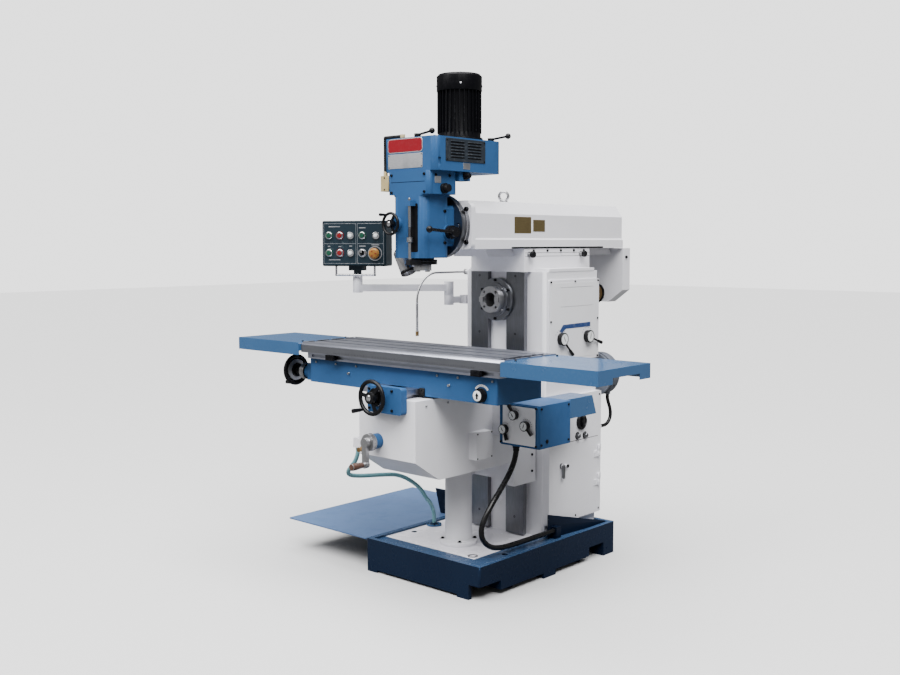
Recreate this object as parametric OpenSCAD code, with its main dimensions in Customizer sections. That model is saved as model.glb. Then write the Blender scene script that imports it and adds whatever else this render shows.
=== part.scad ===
// Ram-head knee milling machine with a horizontal and a vertical spindle.
// Millimetres. Origin on the floor under the middle of the base.
// X runs to the operator's right, Y from the operator to the back, Z up.

/* [Base] */
// Width of the base across the machine
base_w = 720; // [690:5:800]
// Length of the base front to back
base_l = 1060; // [1040:5:1140]
// Height of the base rim above the floor
base_h = 160; // [140:2:180]
// Width of the raised rim
rim_w = 26; // [16:1:34]
// Drop from the rim to the deck
rim_drop = 10; // [6:1:16]
// Thickness of the deck above the bolt seats
deck_t = 12; // [8:1:16]
// Wall of the hollow base casting
base_wall = 110; // [100:1:120]
// Height of the fork slots in the sides
fork_h = 70; // [60:1:80]
// Width of each fork slot
fork_w = 126; // [110:2:136]
// Radius of the foundation bolt holes
bolt_r = 11; // [8:0.5:14]
// Distance of the foundation bolts from the sides
bolt_inset = 70; // [60:1:80]
// Spacing of the foundation bolts front to back
bolt_pitch = 540; // [500:2:560]
// Middle of the front fork slot, ahead of the machine's middle
fork_front = 446; // [440:1:450]
// Middle of the rear fork slot, behind the machine's middle
fork_rear = 370; // [364:1:376]

/* [Chip tray] */
// Reach of the chip tray beyond the base
tray_reach = 580; // [480:5:640]
// Length of the chip tray front to back
tray_len = 917; // [820:5:960]
// Sheet thickness of the chip tray
sheet_t = 4; // [3:0.5:5]

/* [Column] */
// Width of the column body
column_w = 500; // [470:2:540]
// Depth of the column body front to back
column_d = 444; // [420:2:470]
// Height of the column body above the deck
column_h = 1290; // [1260:5:1320]
// Height of the ram guide on top of the column
guide_h = 111; // [96:1:126]
// Width over the two vertical ways
way_w = 336; // [316:2:356]
// Width of one vertical way
way_strip = 110; // [96:1:124]
// Thickness of the ways
way_t = 26; // [20:1:32]
// Front face of the ways, from the middle of the base
way_y = 20; // [10:1:30]
// Wall of the hollow column
column_wall = 40; // [30:1:48]
// Height of the horizontal spindle axis above the floor
spindle_z = 1305; // [1290:1:1320]
// Radius of the horizontal spindle bearing cap
cap_r = 105; // [96:1:112]
// Radius of the horizontal spindle nose
nose_r = 64; // [60:1:70]
// Pitch circle of the bolt holes in the horizontal spindle nose
nose_pcd = 101.6; // [96:0.2:104]

/* [Electric cabinet] */
// Depth of the cabinet frame proud of the column
cab_proud = 30; // [24:1:36]
// Length of the cabinet front to back
cab_l = 436; // [416:2:440]
// Height of the cabinet frame
cab_h = 625; // [600:5:640]
// Height of the cabinet frame's lower edge above the floor
cab_z = 205; // [196:1:214]
// Height of the door
door_h = 268; // [250:2:286]
// Thickness of the door
door_t = 8; // [6:0.5:10]

/* [Rear drive] */
// Radius of the drive motor behind the column
drive_r = 104; // [96:1:112]
// Length of the drive motor that stands out behind the column
drive_l = 96; // [90:2:110]
// Height of the drive motor's axis above the floor
drive_z = 905; // [895:1:915]
// Drive motor's axis right of the middle of the machine
drive_x = 215; // [205:1:225]

/* [Knee] */
// Right side of the knee from the middle of the machine
knee_right = 200; // [190:1:210]
// Left side of the knee nose from the middle of the machine
knee_left = 150; // [140:1:160]
// Reach of the knee in front of the ways
knee_reach = 786; // [770:2:800]
// Height of the knee top above the floor, at rest
knee_top = 905; // [895:1:915]
// Depth of the knee body below its top
knee_depth = 362; // [340:2:380]
// Height of the steel ways on the knee
rail_h = 40; // [30:1:46]
// Width over the steel ways on the knee
rail_w = 250; // [230:2:260]
// Wall of the hollow knee
knee_wall = 34; // [26:1:40]
// Radius of the elevating screw
screw_r = 26; // [20:1:30]
// Radius of the elevating screw post
post_r = 64; // [58:1:70]
// Length of the knee crank
crank_l = 95; // [85:1:100]

/* [Saddle and table] */
// Length of the saddle beam to the left
saddle_left = 607; // [580:1:620]
// Length of the saddle beam to the right
saddle_right = 565; // [550:1:590]
// Height of the saddle beam
saddle_h = 116; // [104:1:126]
// Width of the saddle beam front to back
saddle_w = 300; // [280:2:310]
// Length of the table
table_l = 1250; // [1200:5:1300]
// Width of the table
table_w = 360; // [350:1:380]
// Middle of the table in front of the column ways, at rest
table_out = 540; // [520:1:560]
// Height of the table over the saddle
table_h = 78; // [70:1:86]
// Width of the T-slots at the top
slot_w = 18; // [14:1:20]
// Spacing of the T-slots
slot_pitch = 95; // [88:1:100]
// Reach of the sheet end trays beyond the table
end_tray_l = 470; // [420:5:500]
// Depth of the end tray flanges
flange_h = 60; // [50:1:64]

/* [Ram] */
// Width of the ram
ram_w = 340; // [320:2:356]
// Height of the ram
ram_h = 220; // [206:1:236]
// Length of the ram with its face plate
ram_l = 1236; // [1200:2:1260]
// Front of the ram face plate from the middle of the base
ram_front = 367; // [350:1:384]
// Thickness of the ram face plate
face_t = 27; // [22:1:32]
// Radius of the swivel disc
swivel_r = 145; // [136:1:150]
// Drop of the swivel centre below the ram top
swivel_drop = 116; // [108:1:124]

/* [Head] */
// Distance of the vertical spindle in front of the ram face
head_reach = 140; // [134:1:150]
// Width of the quill housing
head_w = 200; // [190:2:206]
// Height of the quill housing
head_h = 273; // [260:1:286]
// Height of the swivel centre above the quill housing's lower face
head_hang = 143; // [136:1:148]
// Radius of the quill
quill_r = 52; // [46:0.5:56]
// Radius of the vertical spindle in the quill
shaft_r = 24; // [20:0.5:28]
// Radius of the black nose collar
collar_r = 65; // [60:1:70]
// Width of the gear housing
gear_w = 260; // [250:2:270]
// Height of the gear housing
gear_h = 110; // [100:1:120]
// Width of the belt cover
belt_w = 320; // [306:2:336]
// Length of the belt cover front to back
belt_l = 449; // [436:1:470]
// Height of the belt cover
belt_h = 148; // [138:1:158]
// Radius of the motor cowl
motor_r = 105; // [98:1:112]
// Height of the motor above the belt cover
motor_h = 308; // [290:2:324]

/* [Controls] */
// Radius of the table handwheel
wheel_r = 78; // [70:1:84]
// Reach of the table handwheel beyond the saddle beam
wheel_reach = 190; // [180:1:200]
// Radius of the cross handwheel
cross_r = 80; // [72:1:88]
// Radius of the fine feed handwheel
fine_r = 53; // [48:1:58]
// Radius of the lever dials
dial_r = 30; // [26:1:33]
// Width of the control pendant
pendant_w = 330; // [316:2:346]
// Height of the control pendant
pendant_h = 225; // [216:1:240]
// Depth of the control pendant
pendant_d = 110; // [96:1:120]
// Turn of the pendant face towards the right
pendant_yaw = 30; // [20:1:36]
// Radius of the push buttons
button_r = 11; // [9:0.5:13]
// Radius of the emergency stop
stop_r = 26; // [22:1:30]

/* [Fits] */
// Gap between faces that slide or turn on each other
slide_gap = 0.3; // [0.2:0.05:0.5]
// Running clearance of a shaft in its bore
run_gap = 0.05; // [0.02:0.01:0.1]

/* [Hidden] */
$fn = 64;

white = [0.85, 0.85, 0.87];
blue = [0.26, 0.46, 0.66];
navy = [0.13, 0.20, 0.34];
steel = [0.62, 0.64, 0.66];
iron = [0.32, 0.33, 0.35];
black = [0.05, 0.05, 0.06];

// base and column
deck_z = base_h - rim_drop;
base_x = base_w / 2;
base_y = base_l / 2;
well_top = deck_z - deck_t - 24;
foot_w = 70;
corner_w = 66;
skirt_z = 26;
foot_y = -18;
foot_l = 94;
tray_hem = 2 * sheet_t;
bolt_xs = [-base_x + bolt_inset, base_x - bolt_inset];
bolt_ys = [-bolt_pitch / 2, bolt_pitch / 2];
col_x = column_w / 2;
col_y0 = way_y + way_t + 30;
col_y1 = col_y0 + column_d;
col_top = deck_z + column_h;
seat_z = col_top + guide_h;
way_x = way_w / 2;
way_in = way_x - way_strip;
bed_x = way_x - 32;
guide_x = way_x;
guide_y1 = col_y1 + 40;
nose_bore = nose_r + 4;
pipe_y = col_y0 + 28;
pipe_z = seat_z - 119;
dial_z = spindle_z - 193;
dial_ys = [col_y0 + 118, col_y1 - 106];

// cabinet
cab_x = col_x + cab_proud;
cab_y0 = col_y0 + 4;
cab_y1 = cab_y0 + cab_l;
cab_top = cab_z + cab_h;
door_y0 = cab_y0 + 26;
door_y1 = cab_y1 - 26;
door_z0 = deck_z + 165;
door_z1 = door_z0 + door_h;
hinge_r = 6;
hinge_x = cab_x + hinge_r + slide_gap;
hinge_zs = [door_z0 + 30, door_z1 - 90];

// knee
knee_y1 = way_y - slide_gap;
knee_y0 = way_y - knee_reach;
knee_bot = knee_top - knee_depth;
knee_nose_z = knee_bot + 96;
knee_slope = 150;
clamp_x = way_x + 40;
clamp_y1 = way_y + way_t + 24;
clamp_bot = knee_bot - 118;
post_y = way_y - 285;
post_top = knee_bot + 48;
rail_top = knee_top + rail_h;
rail_x = rail_w / 2;
crank_x = -30;
crank_z = knee_top - 195;
cross_x = 20;
cross_z = knee_top + 10;

// saddle and table
saddle_z0 = knee_top + 9;
saddle_z1 = saddle_z0 + saddle_h;
table_y = way_y - table_out;
saddle_y0 = table_y - saddle_w / 2 + 10;
saddle_y1 = saddle_y0 + saddle_w;
table_x = table_l / 2;
table_y0 = table_y - table_w / 2;
table_y1 = table_y + table_w / 2;
table_z0 = saddle_z1 + slide_gap;
table_z1 = table_z0 + table_h;
guide_w0 = 130;
guide_w1 = 160;
guide_rise = 22;
lead_z = table_z0 - 2.3 - wheel_r;
lead_y = saddle_y0 + 70;
dog_xs = [-table_x + 209, table_x - 140];
wheel_x = -saddle_left - wheel_reach;

// ram and head
ram_z0 = seat_z + slide_gap;
ram_z1 = ram_z0 + ram_h;
ram_y0 = -ram_front;
ram_y1 = ram_y0 + ram_l;
ram_x = ram_w / 2;
tail_w0 = 180;
tail_w1 = 220;
tail_h = 36;
swivel_z = ram_z1 - swivel_drop;
disc_y1 = ram_y0 - slide_gap;
disc_y0 = disc_y1 - 33;
head_y = ram_y0 - head_reach;
head_x = head_w / 2;
head_z0 = swivel_z - head_hang;
head_z1 = head_z0 + head_h;
head_y0 = head_y - 93;
gear_z1 = head_z1 + gear_h;
gear_x = gear_w / 2;
gear_y0 = head_y0;
gear_y1 = disc_y0 - 15;
plate_t = 10;
belt_z0 = gear_z1 + plate_t;
belt_z1 = gear_z1 + belt_h;
belt_x = belt_w / 2;
belt_y0 = head_y - 85;
belt_y1 = belt_y0 + belt_l;
motor_y = belt_y1 - 114;
motor_z1 = belt_z1 + motor_h;
collar_z0 = head_z0 - 30;
collar_z1 = head_z0 - 7;
nose_z0 = collar_z0 - 27;
lever_y = head_y + 60;
lever_z = swivel_z - 28;
fine_x = -66;
fine_z = swivel_z + 9;
lamp_y = disc_y0 - 52;
lamp_z = head_z0 + 30;
stop_x = 28;
stop_y = head_y0 - 18;
knob_y = head_y - 2;
knob_z = head_z1 + 34;
knob2_x = gear_x + 12;
knob2_y = gear_y1 + 36;
knob2_z = gear_z1 - 18;
brake_x = 30;
brake_y = belt_y0 + 24;
range_x = belt_x - 35;
range_y = belt_y1 - 36;

// pendant and boom
boom_x = -col_x - 50;
boom_y = way_y - 20;
boom_z = spindle_z + 62;
pend_x = boom_x - 320;
pend_y = boom_y - 330;
pend_z0 = boom_z + 97;
boom_len = sqrt(pow(boom_x - pend_x, 2) + pow(boom_y - pend_y, 2));
boom_turn = atan2(pend_y - boom_y, pend_x - boom_x);

// feed box on the right of the knee
fbox_x0 = knee_right + 72;
fbox_x1 = knee_right + 295;
fbox_y0 = way_y - 312;
fbox_y1 = way_y - 64;
fbox_z0 = knee_top - 239;
fbox_z1 = knee_top - 45;
feed_dials = [[93, -50], [35, -120], [157, -93]];

// gland under the feed gearbox
gland2_x = 330;
gland2_y = -240;

// gland on the trough cover
trough_x = cab_x + 2;
gland_x = 300;
gland_y = 88;
gland_z = 188;

// lowest foot of the coolant hose and its fitting on the knee
drain_x = -300;
drain_y = -115;
hose_x = -knee_left - 28;
hose_y = knee_y0 + 16;
hose_z = knee_top - 245;

hose_path = [[-178, -750, 660], [-178, -750, 634], [-198, -748, 594], [-232, -744, 560], [-266, -730, 530],
  [-284, -700, 508], [-282, -650, 496], [-268, -590, 490], [-252, -520, 484], [-243, -450, 474],
  [-240, -390, 452], [-242, -330, 418], [-248, -270, 374], [-258, -220, 320], [-273, -172, 280],
  [-290, -137, 243], [-297, -122, 220], [-300, -115, 190], [-300, -115, 164]];
hose_r = 10;
conduit_path = [[330, -240, 658], [330, -240, 632], [330, -256, 586], [330, -290, 536], [328, -340, 482],
  [325, -395, 426], [320, -440, 370], [312, -460, 320], [305, -452, 275], [298, -420, 236], [294, -370, 206],
  [293, -310, 191], [294, -240, 186], [296, -160, 186], [298, -80, 187], [300, 0, 188], [300, 60, 188],
  [300, 88, 188]];
conduit_r = 12.5;
loop_x = 262;
loop_y = 600;
loop_z = 640;
loop_path = [[262, 600, 800], [262, 600, 776], [262, 612, 748], [262, 624, 722], [262, 629, 694], [262, 622, 668],
  [262, 604, 650], [262, 580, 641], [262, 552, 640], [262, 526, 640]];
loop_r = 9;

// helpers
module block(x0, x1, y0, y1, z0, z1) {
  translate([x0, y0, z0]) cube([x1 - x0, y1 - y0, z1 - z0]);
}
module rounded(x0, x1, y0, y1, r) {
  translate([x0 + r, y0]) square([x1 - x0 - 2 * r, y1 - y0]);
  translate([x0, y0 + r]) square([x1 - x0, y1 - y0 - 2 * r]);
  for (x = [x0 + r, x1 - r], y = [y0 + r, y1 - r]) translate([x, y]) circle(r);
}
module slab(x0, x1, y0, y1, z0, z1, r) {
  translate([0, 0, z0]) linear_extrude(z1 - z0) rounded(x0, x1, y0, y1, r);
}
module along_x(x0, x1) {
  translate([x0, 0, 0]) rotate([90, 0, 90]) linear_extrude(x1 - x0) children();
}
module along_y(y0, y1) {
  translate([0, y1, 0]) rotate([90, 0, 0]) linear_extrude(y1 - y0) children();
}
module rod_x(y, z, r, x0, x1) {
  translate([x0, y, z]) rotate([0, 90, 0]) cylinder(r = r, h = x1 - x0);
}
module rod_y(x, z, r, y0, y1) {
  translate([x, y0, z]) rotate([-90, 0, 0]) cylinder(r = r, h = y1 - y0);
}
module rod_z(x, y, r, z0, z1) {
  translate([x, y, z0]) cylinder(r = r, h = z1 - z0);
}
module dovetail(w0, w1, z0, z1) {
  polygon([[-w0 / 2, z1], [-w1 / 2, z0], [w1 / 2, z0], [w0 / 2, z1]]);
}
function unit(v) = v / norm(v);
function heading(p, i) = unit(i == 0 ? p[1] - p[0] : i == len(p) - 1 ? p[i] - p[i - 1] : p[i + 1] - p[i - 1]);
function side(t) = unit(cross(t, abs(t[2]) > 0.9 ? [0, 1, 0] : [0, 0, 1]));
function carry(p, i) = i == 0 ? side(heading(p, 0))
  : let(t = heading(p, i), s = carry(p, i - 1)) unit(s - t * (s * t));
module tube_along(p, r, sides) {
  n = len(p);
  pts = [for (i = [0:n - 1]) let(t = heading(p, i), a = carry(p, i), b = cross(t, a))
    for (k = [0:sides - 1]) p[i] + r * (cos(360 * k / sides) * a + sin(360 * k / sides) * b)];
  walls = [for (i = [0:n - 2], k = [0:sides - 1]) let(l = (k + 1) % sides)
    each [[i * sides + k, (i + 1) * sides + l, (i + 1) * sides + k], [i * sides + k, i * sides + l, (i + 1) * sides + l]]];
  caps = [for (k = [1:sides - 2]) each [[0, k + 1, k], [(n - 1) * sides, (n - 1) * sides + k, (n - 1) * sides + k + 1]]];
  polyhedron(pts, concat(walls, caps));
}
// handwheel whose axle runs along Z from the origin, with the grip on the far side
module handwheel(r, rim, hub, hub_l, bore, grip_r, grip_l, spokes) {
  difference() {
    union() {
      rotate_extrude() translate([r - rim, 0]) circle(rim);
      translate([0, 0, -hub_l / 2]) cylinder(r = hub, h = hub_l);
      for (k = [0:spokes - 1]) rotate([0, 0, 360 * k / spokes + 90])
        translate([hub - 2, -rim * 0.8, -rim * 0.5]) cube([r - rim - hub + 2, rim * 1.6, rim]);
      translate([0, -(r - rim), rim * 0.5]) cylinder(r = grip_r * 0.6, h = grip_l * 0.3);
      translate([0, -(r - rim), rim * 0.5 + grip_l * 0.3]) cylinder(r1 = grip_r * 0.8, r2 = grip_r, h = grip_l * 0.7);
    }
    translate([0, 0, -hub_l]) cylinder(r = bore, h = hub_l * 1.6);
  }
}
// dial with a lever, turning on a pin along Z from the origin
module dial_lever(r, h, reach, turn) {
  cylinder(r = r, h = h * 0.55);
  translate([0, 0, h * 0.55]) cylinder(r1 = r * 0.9, r2 = r * 0.72, h = h * 0.45);
  rotate([0, 0, turn]) {
    translate([r * 0.3, 0, h * 0.5]) rotate([0, 90, 0]) cylinder(r = 5, h = reach - r * 0.3);
    translate([reach - 24, 0, h * 0.5]) rotate([0, 90, 0]) cylinder(r1 = 7, r2 = 9, h = 34);
  }
}

// base with its deck, fork slots, feet, foundation bolt holes and the drain of the coolant hose
module base_casting() {
  color(navy) difference() {
    union() {
      difference() {
        slab(-base_x, base_x, -base_y, base_y, 0, base_h, 10);
        block(-base_x + rim_w, base_x - rim_w, -base_y + rim_w, base_y - rim_w, deck_z, base_h + 1);
        block(-base_x + base_wall, base_x - base_wall, -base_y + base_wall, base_y - base_wall, -1, well_top);
        for (y = [-fork_front, fork_rear])
          block(-base_x - 1, base_x + 1, y - fork_w / 2, y + fork_w / 2, -1, fork_h);
        // the front right foot stands in from the corner, which is open like the slot
        block(base_x - corner_w, base_x + 1, -base_y - 1, -fork_front, -1, fork_h);
        block(-base_x + foot_w, base_x - corner_w - foot_w, -base_y - 1, 0, -1, skirt_z / 2);
        block(-base_x + foot_w, base_x - foot_w, 0, base_y + 1, -1, skirt_z / 2);
        block(-base_x - 1, base_x + 1, -fork_front, fork_rear, -1, skirt_z);
      }
      // feet around the bolts and in the middle of both sides
      for (x = bolt_xs, y = bolt_ys) rod_z(x, y, bolt_r + 24, 0, skirt_z + 1);
      for (x = [-base_x, base_x - foot_w]) block(x, x + foot_w, foot_y - foot_l / 2, foot_y + foot_l / 2, 0, skirt_z + 1);
      rod_z(drain_x, drain_y, 38, deck_z - 1, deck_z + 8);
      rod_z(drain_x, drain_y, 13, deck_z + 7, 164);
    }
    for (x = bolt_xs, y = bolt_ys) {
      rod_z(x, y, bolt_r, -1, base_h);
      rod_z(x, y, bolt_r + 4, deck_z - deck_t, base_h);
    }
    rod_z(0, post_y, screw_r + 4, -1, base_h);
    // the column's foot stands in the rear rim
    block(-col_x, col_x, base_y - rim_w - 1, col_y1, deck_z, base_h + 1);
  }
}

// sheet tray on the left of the base with its back wall
module chip_tray() {
  x1 = -base_x;
  x0 = x1 - tray_reach;
  color(navy) {
    block(x0, x1, -base_y, -base_y + tray_len, base_h - sheet_t, base_h);
    block(x0, x0 + sheet_t, -base_y, -base_y + tray_len, base_h - tray_hem, base_h - sheet_t);
    block(x0 + sheet_t, x1, -base_y, -base_y + sheet_t, base_h - tray_hem, base_h - sheet_t);
    block(x0 + sheet_t, x1, -base_y + tray_len - sheet_t, -base_y + tray_len, base_h - tray_hem, base_h - sheet_t);
    along_y(col_y0 - 14, col_y0 - 14 + sheet_t)
      polygon([[x1 - 60, base_h], [-col_x - 2, base_h], [-col_x - 2, base_h + 128], [x1 - 96, base_h + 128]]);
  }
}

// sloping cover of the cable trough beside the column, with its gland block
module trough_cover() {
  rear = base_y - rim_w - 8;
  out = max(0, base_x - rim_w - sheet_t - 6 - trough_x);
  run = sqrt(pow(rear - col_y0 + 12, 2) + pow(out, 2));
  lean = atan2(out, rear - col_y0 + 12);
  color(navy) difference() {
    union() {
      translate([trough_x, col_y0 - 12, deck_z]) rotate([0, 0, -lean])
        along_x(0, sheet_t) polygon([[0, 0], [run, 0], [run, 14], [0, 120]]);
      block(gland_x - 17, gland_x + 20, gland_y, gland_y + 36, deck_z, gland_z + 20);
    }
    // stepped over the rim where the base is narrow
    block(base_x - rim_w, base_x + 1, -base_y, base_y, deck_z - 1, base_h);
  }
}

// column casting with the ram guide, the cabinet frame and the speed panel
module column() {
  color(white) {
    difference() {
      union() {
        slab(-col_x, col_x, col_y0, col_y1, deck_z, col_top, 16);
        block(-bed_x, bed_x, way_y + way_t, col_y0 + 20, deck_z, col_top);
        block(-guide_x, guide_x, way_y, guide_y1, col_top, seat_z);
        slab(-col_x - 2, col_x + 2, col_y0 + 26, col_y1 - 30, col_top, col_top + 14, 12);
        along_x(col_x - 20, cab_x) rounded(cab_y0, cab_y1, cab_z, cab_top, 6);
        along_x(col_x - 2, col_x + 8) rounded(col_y0 + 24, col_y1 - 2, spindle_z - 306, spindle_z + 94, 5);
        block(boom_x + 10, -col_x + 2, boom_y + 70, boom_y + 130, boom_z - 96, boom_z - 52);
        rod_z(boom_x, boom_y, 24, boom_z - 100, boom_z - 52);
        slab(boom_x - 17, boom_x + 17, boom_y, boom_y + 130, boom_z - 92, boom_z - 60, 8);
        rod_x(pipe_y, pipe_z, 15, -col_x - 12, -col_x + 2);
        for (z = hinge_zs) {
          block(cab_x - 1, cab_x + 4, door_y1 + 1, door_y1 + 24, z + 30 + slide_gap, z + 60);
          rod_z(hinge_x, door_y1 - slide_gap, hinge_r, z + 30 + slide_gap, z + 60);
        }
        rod_y(loop_x, loop_z, 15, cab_y1 - 1, cab_y1 + 10);
      }
      block(-col_x + column_wall, col_x - column_wall, col_y0 + column_wall, col_y1 - column_wall,
        deck_z, cab_z - 20);
      block(-col_x + column_wall, col_x - column_wall, col_y0 + column_wall, col_y1 - column_wall,
        cab_top + 30, spindle_z - nose_bore - column_wall);
      block(-col_x + column_wall, col_x - 180, col_y0 + column_wall, col_y1 - column_wall, cab_z - 21, cab_top + 31);
      // cabinet inside and the recess that the door closes
      along_x(col_x - 140, cab_x + 1) rounded(door_y0 + 12, door_y1 - 12, door_z0 + 12, door_z1 - 12, 4);
      block(cab_x - door_t - slide_gap, cab_x + 1, door_y0, door_y1, door_z0, door_z1);
      // ram guide dovetail
      along_y(way_y - 1, guide_y1 + 1)
        dovetail(tail_w0 + 4 * slide_gap, tail_w1 + 4 * slide_gap, seat_z - tail_h - slide_gap, seat_z + 1);
      rod_y(0, spindle_z, nose_bore, way_y - 1, col_y0 + column_wall + 130);
      rod_y(0, spindle_z, cap_r + 1, way_y - 1, way_y + way_t + 4);
      // rear window behind the motor plate
      block(drive_x - 335, drive_x - 55, col_y1 - column_wall - 1, col_y1 + 1, drive_z - 205, drive_z + 55);
      rod_x(pipe_y, pipe_z, 6 + run_gap, -col_x - 13, -col_x - 3);
      rod_z(boom_x, boom_y, 12 + run_gap, boom_z - 101, boom_z - 51);
      for (y = dial_ys) rod_x(y, dial_z, 8 + run_gap, col_x - 30, col_x + 9);
    }
  }
}

// steel ways on the column front and the horizontal spindle's bearing cap
module column_ways() {
  color(iron) {
    difference() {
      for (s = [-1, 1]) block(s > 0 ? way_in : -way_x, s > 0 ? way_x : -way_in, way_y, way_y + way_t, deck_z + 6, col_top);
      rod_y(0, spindle_z, cap_r + 0.2, way_y - 1, way_y + way_t + 1);
    }
    difference() {
      union() {
        rod_y(0, spindle_z, cap_r, way_y - 14, way_y + way_t + 4);
        rod_y(0, spindle_z, nose_r + 18, way_y - 24, way_y - 14);
      }
      rod_y(0, spindle_z, nose_r + run_gap, way_y - 25, way_y + way_t + 5);
    }
  }
}

// motor and drive cover behind the column
module rear_motor() {
  color(blue) {
    block(drive_x - 365, col_x - 4, col_y1, col_y1 + 16, drive_z - 235, drive_z + drive_r + 10);
    rod_y(drive_x, drive_z, drive_r + 8, col_y1 + 16, col_y1 + 30);
    rod_y(drive_x, drive_z, drive_r, col_y1 + 30, col_y1 + drive_l - 48);
    rod_y(drive_x, drive_z, drive_r + 6, col_y1 + drive_l - 48, col_y1 + drive_l);
    slab(-130, 130, col_y1, col_y1 + 54, spindle_z - 150, spindle_z + 80, 10);
    rod_z(loop_x, loop_y, 14, 800, drive_z);
  }
}

// fixed post with the nut of the elevating screw
module screw_post() {
  color(white) difference() {
    union() {
      rod_z(0, post_y, post_r, deck_z, post_top);
      rod_z(0, post_y, post_r + 26, deck_z, deck_z + 22);
    }
    rod_z(0, post_y, screw_r + run_gap, deck_z - 1, post_top + 1);
  }
}

// door of the electric cabinet with its latch
module cabinet_door() {
  x1 = cab_x;
  x0 = x1 - door_t;
  color(white) {
    difference() {
      union() {
        block(x0, x1, door_y0 + slide_gap, door_y1 - slide_gap, door_z0 + slide_gap, door_z1 - slide_gap);
        for (z = hinge_zs) {
          block(x1 - 1, x1 + 4, door_y1 - 34, door_y1 - slide_gap, z, z + 30);
          rod_z(hinge_x, door_y1 - slide_gap, hinge_r, z, z + 30);
        }
      }
      rod_x(door_y0 + 70, door_z1 - 92, 5, x0 - 1, x1 + 1);
    }
    translate([x1, door_y0 + 70, door_z1 - 92]) rotate([0, 90, 0]) {
      cylinder(r = 11, h = 8);
      translate([0, 0, 8]) cylinder(r = 5, h = 8);
    }
    block(x1 + 10, x1 + 18, door_y0 + 62, door_y0 + 78, door_z1 - 152, door_z1 - 86);
    rod_x(door_y0 + 106, door_z1 - 96, 9, x1, x1 + 14);
  }
}

// spindle of the horizontal drive with its nose, driving keys and taper
module horizontal_spindle() {
  color(steel) difference() {
    union() {
      rod_y(0, spindle_z, nose_r, way_y - 56, way_y + way_t + 40);
      rod_y(0, spindle_z, nose_r - 14, way_y + way_t + 40, col_y0 + column_wall + 120);
      for (a = [0, 180]) translate([0, 0, spindle_z]) rotate([0, a, 0])
        block(nose_r - 28, nose_r - 4, way_y - 66, way_y - 56, -12, 12);
    }
    translate([0, way_y - 57, spindle_z]) rotate([-90, 0, 0]) cylinder(r1 = 35, r2 = 20, h = 110);
    rod_y(0, spindle_z, 13, way_y, col_y0 + column_wall + 121);
    for (a = [45, 135, 225, 315]) rod_y(nose_pcd / 2 * cos(a), spindle_z + nose_pcd / 2 * sin(a), 7, way_y - 57, way_y - 26);
  }
}

module speed_lever(y, turn) {
  translate([col_x + 8 + slide_gap, y, dial_z]) rotate([0, 90, 0]) {
    dial_lever(dial_r, 24, dial_r + 80, turn);
    translate([0, 0, -24]) cylinder(r = 8, h = 25);
  }
}
// speed change levers on the right of the column
module speed_lever_left() { color(black) speed_lever(dial_ys[0], 46); }
module speed_lever_right() { color(black) speed_lever(dial_ys[1], 71); }

// swivelling coolant pipe above the table
module nozzle_pipe() {
  x = -col_x - 24;
  z = pipe_z;
  y = pipe_y;
  color(steel) {
    rod_x(y, z, 14, x - 8, -col_x - 12 - slide_gap);
    rod_x(y, z, 6, x, -col_x - 4);
    rod_y(x, z, 5, -120, y);
    translate([x, -120, z - 140]) rotate([0, -90, 0]) rotate([0, 0, -90])
      rotate_extrude(angle = 90) translate([140, 0]) circle(5);
    rod_z(x, -260, 5, z - 280, z - 140);
    rod_z(x, -260, 8, z - 306, z - 280);
  }
}

// knee casting, hollow for the elevating post, with a clamp that grips the column ways
module knee() {
  nose_x0 = -knee_left;
  color(white) {
    difference() {
      union() {
        along_x(nose_x0, knee_right) polygon([[knee_y0, knee_top], [knee_y0, knee_nose_z], [knee_y0 + knee_slope, knee_bot],
          [knee_y1 - 60, knee_bot], [knee_y1 - 60, knee_top]]);
        slab(-clamp_x, clamp_x, knee_y1 - 120, clamp_y1, clamp_bot, knee_top, 8);
        block(knee_right - 2, knee_right + 44, fbox_y0 - 128, fbox_y0 - 18, knee_top - 300, knee_top - 176);
        block(knee_right - 2, fbox_x0, fbox_y0 + 40, fbox_y1 - 40, fbox_z0 + 30, fbox_z1 - 14);
        slab(hose_x - 16, nose_x0 + 2, hose_y - 16, hose_y + 16, hose_z, hose_z + 44, 5);
      }
      // room for the column ways behind the clamp
      block(-way_x - slide_gap, way_x + slide_gap, knee_y1, way_y + way_t + slide_gap, clamp_bot - 1, knee_top + 1);
      block(-bed_x - slide_gap, bed_x + slide_gap, knee_y1, clamp_y1 + 1, clamp_bot - 1, knee_top + 1);
      // inside
      block(nose_x0 + knee_wall, knee_right - knee_wall, knee_y0 + knee_slope + 10, knee_y1 - knee_wall,
        clamp_bot - 1, knee_top - 40);
      rod_z(0, post_y, screw_r + 10 + slide_gap, knee_top - 41, knee_top - 14);
      rod_y(crank_x, crank_z, 12 + run_gap, knee_y0 - 1, knee_y0 + 60);
    }
  }
}

// steel ways on top of the knee
module knee_ways() {
  color(steel) difference() {
    block(-rail_x, rail_x, knee_y0, knee_y1 - 20, knee_top, rail_top);
    for (s = [-1, 1]) block(s > 0 ? rail_x - 24 : -rail_x - 1, s > 0 ? rail_x + 1 : -rail_x + 24,
      knee_y0 - 1, knee_y1, knee_top - 1, knee_top + 16);
    block(-52, 52, knee_y0 + 40, knee_y1 - 60, knee_top - 1, rail_top + 1);
  }
}

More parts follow.
